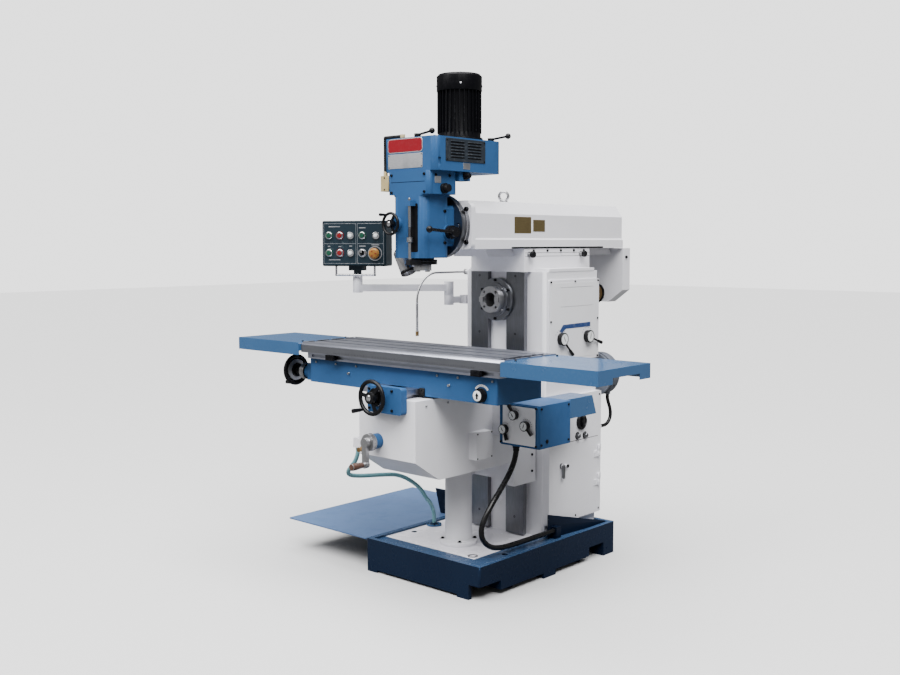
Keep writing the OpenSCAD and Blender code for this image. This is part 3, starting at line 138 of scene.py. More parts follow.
def makeMetal():
    g, i, o = newGroup("groundMetal",
        [("Tone", "c", (0.5, 0.5, 0.5, 1)), ("Dark Tone", "c", (0.2, 0.2, 0.2, 1)),
         ("Grain", "v", (40, 400, 400)), ("Stain", "f", 0.4), ("Gloss", "f", 0.3)])
    coords, point = surfaceOf(g)
    run = g.nodes.new("ShaderNodeVectorMath")  # long noise makes grinding lines
    run.operation = "MULTIPLY"
    g.links.new(coords, run.inputs[0])
    g.links.new(i["Grain"], run.inputs[1])
    lines = noiseAt(g, run.outputs[0], 1.0, 4, 0.6)
    stain = times(g, rangeOf(g, noiseAt(g, coords, 8, 6, 0.6), 0.45, 0.75), i["Stain"])
    # noisy stains, and darker in concave corners
    stain = calc(g, "MAXIMUM", stain, times(g, rangeOf(g, point, 0.485, 0.43), 0.6))
    tone = blendTone(g, stain, i["Tone"], i["Dark Tone"])
    tone = blendTone(g, rangeOf(g, lines, 0.35, 0.75, 0.0, 0.35), tone, i["Dark Tone"])
    g.links.new(tone, o["Color"])
    g.links.new(plus(g, i["Gloss"], times(g, lines, 0.22)), o["Roughness"])
    g.links.new(lines, o["Height"])
    return g

def makeMould():
    g, i, o = newGroup("mouldedGrip",
        [("Tone", "c", (0.03, 0.03, 0.03, 1)), ("Worn Tone", "c", (0.15, 0.15, 0.15, 1)),
         ("Wear", "f", 0.4), ("Gloss", "f", 0.35)])
    coords, point = surfaceOf(g)
    edge = rangeOf(g, point, 0.52, 0.60)
    patch = rangeOf(g, noiseAt(g, coords, 45, 5), 0.42, 0.62)
    rub = times(g, times(g, edge, patch), i["Wear"])
    film = rangeOf(g, noiseAt(g, coords, 22, 5), 0.45, 0.75, 0.0, 0.25)
    worn = calc(g, "MAXIMUM", rub, times(g, film, i["Wear"]))
    g.links.new(blendTone(g, worn, i["Tone"], i["Worn Tone"]), o["Color"])
    g.links.new(plus(g, i["Gloss"], film), o["Roughness"])
    g.links.new(noiseAt(g, coords, 420, 2), o["Height"])
    return g

coatGroup = makeCoat()
metalGroup = makeMetal()
mouldGroup = makeMould()

def finishFrom(group, name, values, metallic=0.0, bump=0.12, depth=0.0006, coat=0.0, spec=0.5):
    m = bpy.data.materials.new(name)
    m.use_nodes = True
    t = m.node_tree
    bsdf = t.nodes["Principled BSDF"].inputs
    g = t.nodes.new("ShaderNodeGroup")
    g.node_tree = group
    for label, value in values.items():
        if g.inputs[label].type == "RGBA":
            value = value + (1,)
        g.inputs[label].default_value = value
    b = t.nodes.new("ShaderNodeBump")
    b.inputs["Strength"].default_value = bump
    b.inputs["Distance"].default_value = depth
    t.links.new(g.outputs["Color"], bsdf["Base Color"])
    t.links.new(g.outputs["Roughness"], bsdf["Roughness"])
    t.links.new(g.outputs["Height"], b.inputs["Height"])
    t.links.new(b.outputs["Normal"], bsdf["Normal"])
    bsdf["Metallic"].default_value = metallic
    bsdf["Coat Weight"].default_value = coat
    bsdf["Specular IOR Level"].default_value = spec
    m.diffuse_color = values["Tone"] + (1,)
    return m

def enamel(name, tone, shade, chip, grime, gloss, mottle, chips, dirt, coat, spec):
    values = {"Tone": tone, "Shade": shade, "Chip Tone": chip, "Grime Tone": grime, "Mottle": mottle,
        "Chips": chips, "Grime": dirt, "Gloss": gloss}
    return finishFrom(coatGroup, name, values, bump=0.10, coat=coat, spec=spec)

def metal(name, tone, dark, grain, stain, gloss, metallic):
    values = {"Tone": tone, "Dark Tone": dark, "Grain": grain, "Stain": stain, "Gloss": gloss}
    return finishFrom(metalGroup, name, values, metallic=metallic, bump=0.08, depth=0.0003, spec=0.3)

def moulded(name, tone, worn, wear, gloss, spec):
    values = {"Tone": tone, "Worn Tone": worn, "Wear": wear, "Gloss": gloss}
    return finishFrom(mouldGroup, name, values, bump=0.06, depth=0.0003, spec=spec)

# tone, shade, chip and grime; then gloss, mottle, chips, dirt, coat and spec
enamelFinishes = {
    "whiteEnamel": ((0.76, 0.755, 0.79), (0.68, 0.675, 0.71), (0.30, 0.29, 0.28), (0.28, 0.27, 0.27), 0.36,
        0.5, 0.05, 0.10, 0.1, 0.35),
    "blueEnamel": ((0.026, 0.086, 0.210), (0.021, 0.070, 0.176), (0.20, 0.26, 0.32), (0.008, 0.014, 0.024),
        0.42, 0.6, 0.10, 0.22, 0.0, 0.14),
    "lightBlueEnamel": ((0.027, 0.088, 0.200), (0.022, 0.074, 0.172), (0.24, 0.30, 0.36),
        (0.02, 0.03, 0.05), 0.22, 0.6, 0.03, 0.10, 0.2, 0.45),
    "navyEnamel": ((0.0036, 0.0080, 0.021), (0.0028, 0.0062, 0.016), (0.06, 0.08, 0.11),
        (0.002, 0.003, 0.005), 0.30, 0.6, 0.12, 0.25, 0.0, 0.14),
    "baseEnamel": ((0.0050, 0.0118, 0.030), (0.0040, 0.0094, 0.025), (0.06, 0.08, 0.11),
        (0.002, 0.003, 0.005), 0.26, 0.4, 0.15, 0.15, 0.0, 0.16),
    "traySheet": ((0.085, 0.150, 0.290), (0.065, 0.115, 0.230), (0.20, 0.22, 0.26), (0.02, 0.03, 0.05),
        0.28, 0.8, 0.12, 0.22, 0.05, 0.40),
    "blackEnamel": ((0.0020, 0.0020, 0.0030), (0.003, 0.003, 0.004), (0.04, 0.04, 0.045),
        (0.006, 0.006, 0.006), 0.40, 0.6, 0.4, 0.2, 0.0, 0.10),
    "ventGrey": ((0.020, 0.026, 0.034), (0.014, 0.018, 0.024), (0.10, 0.11, 0.12), (0.005, 0.005, 0.006),
        0.42, 0.6, 0.4, 0.3, 0.0, 0.2),
    "motorGrey": ((0.105, 0.115, 0.140), (0.080, 0.088, 0.110), (0.22, 0.23, 0.25), (0.02, 0.02, 0.024),
        0.42, 0.6, 0.10, 0.25, 0.0, 0.2),
    "tealEnamel": ((0.008, 0.019, 0.028), (0.006, 0.015, 0.022), (0.12, 0.15, 0.16), (0.006, 0.008, 0.010),
        0.42, 0.5, 0.4, 0.25, 0.05, 0.25),
    "tanEnamel": ((0.50, 0.40, 0.20), (0.36, 0.28, 0.13), (0.45, 0.43, 0.38), (0.08, 0.06, 0.04), 0.40, 0.8,
        0.6, 0.5, 0.1, 0.4),
    "redEnamel": ((0.235, 0.006, 0.014), (0.17, 0.004, 0.010), (0.4, 0.3, 0.3), (0.03, 0.006, 0.006), 0.30,
        0.5, 0.05, 0.1, 0.05, 0.25),
    "panelWhite": ((0.76, 0.76, 0.78), (0.69, 0.69, 0.72), (0.4, 0.4, 0.4), (0.30, 0.29, 0.28), 0.36, 0.5,
        0.05, 0.10, 0.1, 0.4),
    "bandBlue": ((0.016, 0.045, 0.150), (0.012, 0.036, 0.120), (0.4, 0.4, 0.42), (0.02, 0.02, 0.03), 0.34,
        0.4, 0.2, 0.1, 0.05, 0.25),
    "brownGrip": ((0.075, 0.036, 0.024), (0.052, 0.024, 0.016), (0.20, 0.14, 0.10), (0.02, 0.012, 0.010),
        0.36, 0.8, 0.4, 0.3, 0.1, 0.35),
}
# tone, dark tone and grain; then stain, gloss and metallic
metalFinishes = {
    "tableSteel": ((0.44, 0.455, 0.53), (0.20, 0.21, 0.245), (30, 500, 500), 0.45, 0.24, 1.0),
    "bandSteel": ((0.085, 0.088, 0.098), (0.05, 0.05, 0.056), (20, 500, 500), 0.30, 0.34, 0.3),
    "waySteel": ((0.20, 0.205, 0.22), (0.085, 0.088, 0.096), (420, 420, 22), 0.35, 0.24, 1.0),
    "turnedSteel": ((0.46, 0.46, 0.47), (0.20, 0.20, 0.21), (160, 160, 160), 0.30, 0.24, 1.0),
    "darkIron": ((0.050, 0.050, 0.054), (0.020, 0.020, 0.022), (140, 140, 140), 0.5, 0.34, 1.0),
    "boltBlack": ((0.020, 0.020, 0.022), (0.008, 0.008, 0.009), (200, 200, 200), 0.4, 0.38, 1.0),
    "brightChrome": ((0.66, 0.66, 0.68), (0.30, 0.30, 0.32), (120, 120, 120), 0.10, 0.10, 1.0),
    "latchSteel": ((0.20, 0.205, 0.215), (0.09, 0.09, 0.095), (120, 120, 120), 0.2, 0.20, 1.0),
    "bushBronze": ((0.40, 0.26, 0.12), (0.20, 0.13, 0.06), (200, 200, 200), 0.4, 0.26, 1.0),
    "plateBrass": ((0.300, 0.230, 0.110), (0.18, 0.14, 0.068), (300, 30, 300), 0.45, 0.38, 1.0),
    "plateSilver": ((0.58, 0.58, 0.60), (0.26, 0.28, 0.31), (40, 300, 260), 0.85, 0.36, 1.0),
}
# tone and worn tone; then wear, gloss and spec
mouldFinishes = {
    "gripBlack": ((0.004, 0.004, 0.005), (0.045, 0.044, 0.044), 0.30, 0.26, 0.2),
    "rubberBlack": ((0.005, 0.005, 0.006), (0.03, 0.03, 0.03), 0.5, 0.46, 0.15),
    "conduitBlack": ((0.0035, 0.0035, 0.004), (0.03, 0.03, 0.032), 0.3, 0.26, 0.3),
    "hoseTeal": ((0.150, 0.330, 0.365), (0.10, 0.20, 0.23), 0.5, 0.26, 0.25),
    "greenCap": ((0.008, 0.060, 0.034), (0.03, 0.12, 0.07), 0.3, 0.24, 0.25),
    "redCap": ((0.17, 0.010, 0.012), (0.24, 0.05, 0.05), 0.3, 0.24, 0.25),
    "amberCap": ((0.27, 0.12, 0.024), (0.14, 0.07, 0.02), 0.5, 0.30, 0.25),
    "lensWhite": ((0.76, 0.78, 0.78), (0.62, 0.63, 0.62), 0.3, 0.14, 0.25),
    # dark finish for printed ticks, needles and joints, and for painted shade in slots, louvres, recesses
    # and grilles
    "slotDark": ((0.003, 0.003, 0.004), (0.012, 0.012, 0.012), 0.4, 0.55, 0.1),
}
look = {}
for make, finishes in ((enamel, enamelFinishes), (metal, metalFinishes), (moulded, mouldFinishes)):
    for name, values in finishes.items():
        look[name] = make(name, *values)

# base: ledge in light blue as a painted highlight on the rim top, deck in white paint, each a box in the
# node's own frame, in metres
baseZones = {
    "ledgeHighlight": {"lo": (-0.358, -0.528, 0.149), "hi": (0.358, 0.528, 0.161),
        "tones": {"Tone": (0.030, 0.065, 0.135), "Shade": (0.020, 0.045, 0.100)}},
    "deck": {"lo": (-0.334, -0.425, 0.149), "hi": (0.236, 0.505, 0.151),
        "tones": {"Tone": (0.80, 0.79, 0.84), "Shade": (0.70, 0.68, 0.74),
            "Grime Tone": (0.32, 0.31, 0.32)}},
}

def paintZone(m, lo, hi, tones, blur=0.0004):
    t = m.node_tree
    g = next(n for n in t.nodes if n.type == "GROUP")
    xyz = t.nodes.new("ShaderNodeSeparateXYZ")
    t.links.new(t.nodes.new("ShaderNodeTexCoord").outputs["Object"], xyz.inputs[0])
    mask = 1.0
    for axis, a, b in zip("XYZ", lo, hi):
        inside = rangeOf(t, xyz.outputs[axis], a - blur, a + blur)
        inside = times(t, inside, rangeOf(t, xyz.outputs[axis], b + blur, b - blur))
        mask = times(t, inside, mask)
    for label, tone in tones.items():
        if g.inputs[label].is_linked:
            before = g.inputs[label].links[0].from_socket
        else:
            before = t.nodes.new("ShaderNodeRGB").outputs[0]
            before.default_value = g.inputs[label].default_value
        after = t.nodes.new("ShaderNodeRGB").outputs[0]
        after.default_value = tone + (1,)
        t.links.new(blendTone(t, mask, before, after), g.inputs[label])

for zone in baseZones.values():
    paintZone(look["baseEnamel"], zone["lo"], zone["hi"], zone["tones"])
print("finishes ready,", len(look))

# the finish of each CAD node, and the width of its rounded edges in millimetres
nodeLook = {
    "whiteEnamel": ["column", "screw_post", "cabinet_door", "knee", "ram", "arbor_support", "boom_arm"],
    "motorGrey": ["rear_motor"],
    "blueEnamel": ["feed_box", "wheel_bracket", "saddle", "head_casting", "gear_housing", "belt_cover"],
    "lightBlueEnamel": ["feed_motor", "end_trays"],
    "navyEnamel": ["trough_cover"],
    "baseEnamel": ["base_casting"],
    "traySheet": ["chip_tray"],
    "waySteel": ["column_ways", "swivel_disc"],
    "tableSteel": ["table_top", "knee_ways"],
    "turnedSteel": ["horizontal_spindle", "knee_crank", "nozzle_pipe", "elevating_screw", "lifting_eye",
        "vertical_spindle"],
    "darkIron": ["quill"],
    "blackEnamel": ["motor", "trip_dogs"],
    "gripBlack": ["speed_lever_left", "speed_lever_right", "cross_handwheel", "feed_lever_top",
        "feed_lever_left", "feed_lever_right", "feed_knob", "table_handwheel", "quill_lever",
        "fine_feed_wheel", "gear_knob_front", "gear_knob_rear", "brake_lever", "range_lever", "mode_switch"],
    "tealEnamel": ["pendant"],
    "tanEnamel": ["limit_switch"],
    "brightChrome": ["work_lamp"],
    "bushBronze": ["arbor_bush"],
    "greenCap": ["start_button", "feed_start_button", "coolant_button"],
    "redCap": ["stop_button", "feed_stop_button"],
    "amberCap": ["emergency_button"],
    "hoseTeal": ["coolant_hose"],
    "conduitBlack": ["feed_conduit", "rear_conduit"],
}
softEdge = {
    5.0: ["knee"],
    4.0: ["column", "ram", "head_casting", "arbor_support", "boom_arm"],
    3.0: ["saddle", "base_casting", "gear_housing", "belt_cover", "wheel_bracket", "rear_motor"],
    2.5: ["feed_box"],
    2.0: ["pendant", "screw_post", "feed_motor"],
    1.5: ["cabinet_door", "limit_switch", "swivel_disc", "knee_crank"],
    1.2: ["motor", "end_trays", "quill", "emergency_button"],
    1.0: ["table_top", "chip_tray", "trough_cover", "column_ways", "arbor_bush", "horizontal_spindle",
        "trip_dogs"],
    0.8: ["knee_ways", "work_lamp", "vertical_spindle", "mode_switch"],
}
edgeOf = {n: width for width, names in softEdge.items() for n in names}
smallEdge = 0.7
cordNodes = ("coolant_hose", "feed_conduit", "rear_conduit")

def roundEdges(o, width):
    weld = o.modifiers.new("joinEdges", "WELD")
    weld.merge_threshold = 0.00002
    bev = o.modifiers.new("softEdge", "BEVEL")
    bev.width = width * 0.001
    bev.segments = 2
    bev.limit_method = "ANGLE"
    bev.angle_limit = math.radians(38)
    bev.use_clamp_overlap = True
    bev.harden_normals = True

for finishName, names in nodeLook.items():
    for n in names:
        o = nodes[n]
        o.data.materials.clear()
        o.data.materials.append(look[finishName])
        for p in o.data.polygons:
            p.material_index = 0
        if n not in cordNodes:
            roundEdges(o, edgeOf.get(n, smallEdge))
print("CAD nodes dressed")

# placing of small pieces, in millimetres: across, up and out of the face that carries them
ways = {
    "x+": ((0, 1, 0), (0, 0, 1), (1, 0, 0)),
    "x-": ((0, -1, 0), (0, 0, 1), (-1, 0, 0)),
    "y-": ((1, 0, 0), (0, 0, 1), (0, -1, 0)),
    "y+": ((-1, 0, 0), (0, 0, 1), (0, 1, 0)),
    "z+": ((1, 0, 0), (0, 1, 0), (0, 0, 1)),
    "z-": ((1, 0, 0), (0, -1, 0), (0, 0, -1)),
}

def at(x, y, z, way):
    m = Matrix([Vector(a) for a in ways[way]]).transposed().to_4x4()
    m.translation = (x, y, z)
    return m

def turn(degrees, axis="Z"):
    return Matrix.Rotation(math.radians(degrees), 4, axis)

def shift(x, y, z=0.0):
    return Matrix.Translation((x, y, z))

def polar(r, degrees):
    a = math.radians(degrees)
    return shift(r * math.cos(a), r * math.sin(a))

def corners(place, x, y):
    return [place @ shift(sx * x, sy * y) for sx in (-1, 1) for sy in (-1, 1)]

# outlines
def circle(r, seg):
    ring = [2 * math.pi * n / seg for n in range(seg)]
    return [(r * math.cos(a), r * math.sin(a)) for a in ring]

def roundRect(w, h, r, steps=5):
    x = w / 2 - r
    y = h / 2 - r
    pts = []
    for cx, cy, first in ((x, y, 0), (-x, y, 90), (-x, -y, 180), (x, -y, 270)):
        for n in range(steps + 1):
            a = math.radians(first + 90 * n / steps)
            pts.append((cx + r * math.cos(a), cy + r * math.sin(a)))
    return pts

def arcBand(inner, outer, first, last, steps=24):
    ring = [math.radians(first + (last - first) * n / steps) for n in range(steps + 1)]
    far = [(outer * math.cos(a), outer * math.sin(a)) for a in ring]
    return far + [(inner * math.cos(a), inner * math.sin(a)) for a in reversed(ring)]

# one piece made of turned, flat and tubular forms
class Kit:
    def __init__(self, name, body, slot, *finishes):
        self.name = name
        self.body = body
        self.slot = slot
        self.finishes = finishes
        self.bm = bmesh.new()
        self.index = 0

    def use(self, finish):
        self.index = self.finishes.index(finish)
        return self

    def skin(self, verts):
        f = self.bm.faces.new(verts)
        f.material_index = self.index
        f.smooth = True

    def join(self, a, b):
        for n in range(len(a)):
            m = (n + 1) % len(a)
            self.skin((a[n], a[m], b[m], b[n]))

    def turned(self, profile, place, seg=32):
        rings = []
        for r, z in profile:
            spots = circle(r, seg) if r > 1e-6 else [(0, 0)]
            rings.append([self.bm.verts.new(place @ Vector((x, y, z))) for x, y in spots])
        for a, b in zip(rings, rings[1:]):
            if len(a) == len(b):
                self.join(a, b)
                continue
            for n in range(seg):
                m = (n + 1) % seg
                self.skin((a[0], b[n], b[m]) if len(a) == 1 else (a[n], a[m], b[0]))
        return self

    def slab(self, outline, t, place, edge=0.5, back=0.0):
        count = len(outline)
        def inward(a, b):
            e = b - a
            return Vector((-e.y, e.x)).normalized() if e.length else Vector((0, 0))
        def loop(z, inset):
            pts = []
            for n in range(count):
                a, b, c = (Vector(outline[q % count]) for q in (n - 1, n, n + 1))
                m = inward(a, b) + inward(b, c)
                if m.length > 1e-6:
                    m = m.normalized() * min(2.0, 1 / max(0.4, m.length / 2))
                spot = b + m * inset
                pts.append(self.bm.verts.new(place @ Vector((spot.x, spot.y, z))))
            return pts
        low, mid, top = loop(-back, 0), loop(t - edge, 0), loop(t, edge)
        self.join(low, mid)
        self.join(mid, top)
        self.skin(top)
        self.skin(low[::-1])
        return self

    def plate(self, w, h, t, place, r=2.0, edge=0.5, back=0.0):
        return self.slab(roundRect(w, h, r), t, place, edge, back)

    def tube(self, points, r, seg=12):
        pts = [Vector(p) for p in points]
        side = None
        rings = []
        for n, p in enumerate(pts):
            along = (pts[min(n + 1, len(pts) - 1)] - pts[max(n - 1, 0)]).normalized()
            if side is None:
                side = along.orthogonal().normalized()
            side = (side - along * side.dot(along)).normalized()
            up = along.cross(side)
            rings.append([self.bm.verts.new(p + r * (x * side + y * up)) for x, y in circle(1.0, seg)])
        for a, b in zip(rings, rings[1:]):
            self.join(a, b)
        self.skin(rings[0][::-1])
        self.skin(rings[-1])
        return self

    # the same screw at one place or at each of a list
    def screw(self, places, r, profile, seg):
        for place in places if isinstance(places, list) else [places]:
            self.turned([(a * r, b * r) for a, b in profile], place, seg)
        return self

    def capScrew(self, places, r):
        return self.screw(places, r, [(1, 0), (1, 0.8), (0.84, 1), (0.52, 1), (0.48, 0.4), (0, 0.35)], 18)

    def panScrew(self, places, r):
        return self.screw(places, r, [(1, 0), (1, 0.25), (0.8, 0.5), (0.4, 0.62), (0, 0.65)], 16)

    def hexBolt(self, places, r):
        self.screw(places, r, [(1.5, 0), (1.5, 0.18), (1.2, 0.2)], 24)
        return self.screw(places, r, [(1, 0.2), (1, 0.85), (0.86, 1), (0, 1)], 6)

    def done(self, angle=32.0):
        me = bpy.data.meshes.new(self.name)
        bmesh.ops.scale(self.bm, vec=(0.001, 0.001, 0.001), verts=self.bm.verts)
        bmesh.ops.recalc_face_normals(self.bm, faces=self.bm.faces)
        self.bm.to_mesh(me)
        self.bm.free()
        for f in self.finishes:
            me.materials.append(look[f])
        me.set_sharp_from_angle(angle=math.radians(angle))
        o = bpy.data.objects.new(self.name, me)
        bpy.context.scene.collection.objects.link(o)
        if self.body:
            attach(o, self.body)
        return o

# cords first: a smooth line through the points, then even steps along it
def smoothPath(points, per=6):
    pts = [Vector(p) for p in points]
    last = len(pts) - 1
    out = []
    for n in range(last):
        a, b, c, d = pts[max(n - 1, 0)], pts[n], pts[n + 1], pts[min(n + 2, last)]
        for s in range(per):
            t = s / per
            bend = (2 * a - 5 * b + 4 * c - d) * t * t + (3 * b - a - 3 * c + d) * t ** 3
            out.append(0.5 * ((2 * b) + (c - a) * t + bend))
    out.append(pts[-1])
    return out

def evenly(path, step):
    out = [path[0]]
    left = step
    for a, b in zip(path, path[1:]):
        d = (b - a).length
        while d >= left:
            a = a + (b - a) * (left / d)
            d = (b - a).length
            out.append(a.copy())
            left = step
        left -= d
    if (out[-1] - path[-1]).length > step * 0.3:
        out.append(path[-1].copy())
    else:
        out[-1] = path[-1].copy()
    return out

# points in millimetres; still is where a cord stops following the knee, in metres
cordSpecs = {
    "coolantHose": {
        "node": "coolant_hose", "radius": 10.0, "finish": "hoseTeal", "slot": "hose_teal", "stiff": "medium",
        "bodies": ("knee_unit", "machine_frame"), "still": (-0.300, -0.115, 0.164),
        "points": [(-178, -750, 660), (-178, -750, 634), (-198, -748, 594), (-232, -744, 560),
            (-266, -730, 530), (-284, -700, 508), (-282, -650, 496), (-268, -590, 490), (-252, -520, 484),
            (-243, -450, 474), (-240, -390, 452), (-242, -330, 418), (-248, -270, 374), (-258, -220, 320),
            (-273, -172, 280), (-290, -137, 243), (-297, -122, 220), (-300, -115, 190), (-300, -115, 164)]},
    "feedConduit": {
        "node": "feed_conduit", "radius": 12.5, "finish": "conduitBlack", "slot": "conduit_black",
        "stiff": "stiff", "bodies": ("knee_unit", "machine_frame"), "still": (0.330, -0.240, 0.206),
        "points": [(330, -240, 658), (330, -240, 632), (330, -256, 586), (330, -290, 536), (328, -340, 482),
            (325, -395, 426), (320, -440, 370), (312, -460, 320), (305, -452, 275), (298, -420, 236),
            (294, -370, 206), (293, -310, 191), (294, -240, 186), (296, -160, 186), (298, -80, 187),
            (300, 0, 188), (300, 60, 188), (300, 88, 188)]},
    "rearConduit": {
        "node": "rear_conduit", "radius": 9.0, "finish": "conduitBlack", "slot": "conduit_black",
        "stiff": "stiff", "bodies": ("machine_frame", "machine_frame"),
        "points": [(262, 600, 800), (262, 600, 776), (262, 612, 748), (262, 624, 722), (262, 629, 694),
            (262, 622, 668), (262, 604, 650), (262, 580, 641), (262, 552, 640), (262, 526, 640)]},
}
cordStep = 6.0
for name, spec in cordSpecs.items():
    line = evenly(smoothPath(spec["points"]), cordStep)
    moves = spec["bodies"][0] != spec["bodies"][1]
    kit = Kit(name, None if moves else "machine_frame", spec["slot"], spec["finish"])
    o = kit.tube(line, spec["radius"], seg=20).done(angle=60)
    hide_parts(spec["node"])
    if moves:
        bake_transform(o)

# head: bare plates as middle and size, then the vent of the belt cover
head = Spec(front=-592.0, side=160.0, plaque=(-24, 2009, 208, 56), worn=(-24, 1941, 212, 64),
    vent=(-395, 1987, 266, 100), ventRows=6, ventPitch=13.2, ventReach=57,
    ventHood=[(-46, 0), (46, 0), (44, 4), (-44, 4)])
kit = Kit("headPlaque", "head_unit", "red_plastic", "redEnamel", "plateSilver", "boltBlack")
x, z, w, h = head.plaque
face = at(x, head.front, z, "y-")
kit.use("plateSilver").plate(w + 7, h + 7, 1.4, face, r=15, edge=0.6)
kit.use("redEnamel").plate(w, h, 2.4, face, r=12, edge=0.8)
x, z, w, h = head.worn
kit.use("plateSilver").plate(w, h, 1.2, at(x, head.front, z, "y-"), r=3)
kit.use("boltBlack").panScrew(corners(at(x, head.front - 1.2, z, "y-"), w / 2 - 6, h / 2 - 6), 2.6)
kit.done()

kit = Kit("beltVent", "head_unit", "black_enamel", "ventGrey", "slotDark", "boltBlack", "plateSilver")
y, z, w, h = head.vent
face = at(head.side, y, z, "x+")
kit.use("ventGrey").plate(w, h, 3.0, face, r=5, edge=1.0)
# the dark plates in the vent slits are painted shade in the openings
for col in (-1, 1):
    for row in range(head.ventRows):
        slit = face @ shift(col * head.ventReach, h / 2 - 17 - row * head.ventPitch)
        kit.use("slotDark").plate(92, 6.0, 3.3, slit, r=2.9, edge=0.1)
        kit.use("ventGrey").slab(head.ventHood, 6.5, slit @ shift(0, 2.6), edge=1.2)
kit.use("boltBlack").panScrew(corners(face @ shift(0, 0, 3), w / 2 - 8, h / 2 - 8), 4)
kit.use("plateSilver").plate(46, 28, 1.0, at(head.side, -388, 1919, "x+"))
kit.plate(40, 30, 1.0, at(130, -545, 1856, "x+"))
kit.done()

headScrew = Spec(lidTop=2043.3, lid=((-120, -555), (-120, -300), (-120, -180), (120, -555), (120, -300)),
    motor=(0, -257), flange=2059.3, flangeBolts=99, cowl=2300, cowlScrews=105,
    front=-600, scale=(8, 1640, 9, 190), firstTick=1551, ticks=37, tickGap=5)
kit = Kit("headScrews", "head_unit", "dark_iron", "boltBlack", "slotDark", "turnedSteel", "brightChrome")
kit.use("boltBlack").capScrew([at(x, y, headScrew.lidTop, "z+") for x, y in headScrew.lid], 5)
flange = at(*headScrew.motor, headScrew.flange, "z+")
cowl = at(*headScrew.motor, headScrew.cowl, "z+")
for a in range(45, 360, 90):
    kit.use("boltBlack").hexBolt(flange @ polar(headScrew.flangeBolts, a), 6.5)
    side = cowl @ polar(headScrew.cowlScrews, a) @ turn(a) @ turn(90, "Y")
    kit.use("turnedSteel").panScrew(side, 5)
kit.use("slotDark").plate(210, 2.2, 0.5, at(-2, headScrew.front, 1848, "y-"), r=1, edge=0.1)  # joint
spots = [at(x, headScrew.front, z, "y-") for x in (-100.8, 100.8) for z in (1803, 1880)]
kit.use("boltBlack").capScrew(spots, 6)  # gear housing front
for y in (-560, -470):  # flange of the quill housing
    kit.capScrew(at(130, y, 1876, "x+"), 6)
    kit.capScrew(at(-130, y + 60, 1876, "x-"), 6)
for z in (1560, 1700):
    kit.capScrew(at(100, -470, z + 20, "x+"), 7)
    kit.capScrew(at(-100, -500, z, "x-"), 7)
# the dark plate in the stop slot is painted shade in its recess
kit.use("slotDark").plate(44, 214, 0.8, at(38, headScrew.front, 1646, "y-"), r=6, edge=0.2)  # stop slot
x, z, w, h = headScrew.scale  # depth scale
kit.use("brightChrome").plate(w, h, 3.0, at(x, headScrew.front, z, "y-"), r=1.0, edge=0.6)
for n in range(headScrew.ticks):
    tick = at(x, headScrew.front, headScrew.firstTick + n * headScrew.tickGap, "y-")
    kit.use("slotDark").plate(3.5 if n % 5 else 7, 0.8, 3.3, tick, r=0.3, edge=0.05)
kit.done()

switch = Spec(foot=(-170, -570, 1888), elbow=(-170, -570, 2052.3), end=(-62, -570, 2052.3),
    radius=8.4, screws=(-156, -592, 1846), screwReach=26)
kit = Kit("switchConduit", "head_unit", "conduit_black", "rubberBlack", "boltBlack")
kit.use("rubberBlack").tube([switch.foot, switch.elbow], switch.radius, seg=20)
kit.turned([(8.4, 0), (7.3, 4.2), (4.2, 7.3), (0, 8.4)], at(*switch.elbow, "z+"), seg=20)
kit.tube([switch.elbow, switch.end], switch.radius, seg=20)
spots = [at(*switch.screws, "y-") @ shift(0, dz) for dz in (-switch.screwReach, switch.screwReach)]
kit.use("boltBlack").panScrew(spots, 4)
kit.done()

# fan grille of the spindle motor: dark disc of painted shade in the openings, rings and spokes
cowlFan = Spec(top=(0, -257, 2351.3), disc=84, rings=(20, 34, 48, 62, 76))
kit = Kit("motorCowlGrille", "head_unit", "black_enamel", "blackEnamel", "slotDark")
top = at(*cowlFan.top, "z+")
# the dark disc is painted shade behind the grille
kit.use("slotDark").turned([(cowlFan.disc, -1.5), (cowlFan.disc, 0.3), (0, 0.3)], top, seg=48)
for r in cowlFan.rings:
    hoop = [(r - 4, 0), (r - 4, 1.6), (r - 3, 2.2), (r + 3, 2.2), (r + 4, 1.6), (r + 4, 0)]
    kit.use("blackEnamel").turned(hoop, top, seg=48)
for a in range(0, 360, 45):
    kit.plate(76, 6, 2.4, top @ turn(a) @ shift(46, 0))
kit.turned([(14, 0), (14, 2), (10, 3), (0, 3)], top)
kit.done()

# quill: depth stop rod with its ribbed nut, ribs round the nose collar
quill = Spec(rod=(28, -618), rodRadius=7.4, low=1508, high=1649, nut=1582.3, nutRibs=9,
    nose=(0, -507, 1482.3))
kit = Kit("quillTrim", "quill_body", "ground_steel", "brightChrome", "gripBlack", "turnedSteel")
r = quill.rodRadius
kit.use("brightChrome").turned([(r, 0), (r, 70)], at(*quill.rod, quill.low, "z+"), seg=24)
kit.turned([(r, 0), (r, 126), (6.4, 127), (0, 127)], at(*quill.rod, quill.high, "z+"), seg=24)
ridge = []
for n in range(quill.nutRibs):
    z = n * 2.4
    ridge += [(13.2, z), (14.2, z + 0.6), (14.2, z + 1.4), (13.2, z + 2.0)]
nut = at(*quill.rod, quill.nut, "z+")
kit.use("turnedSteel").turned([(7, 0)] + ridge + [(7, 21.8)], nut, seg=28)
ribs = [(65.3, 2), (66.4, 3.5), (66.4, 8), (65.3, 9.5), (65.3, 13), (66.4, 14.5), (66.4, 19), (65.3, 20.5)]
kit.use("gripBlack").turned(ribs, at(*quill.nose, "z+"), seg=64)
kit.done()

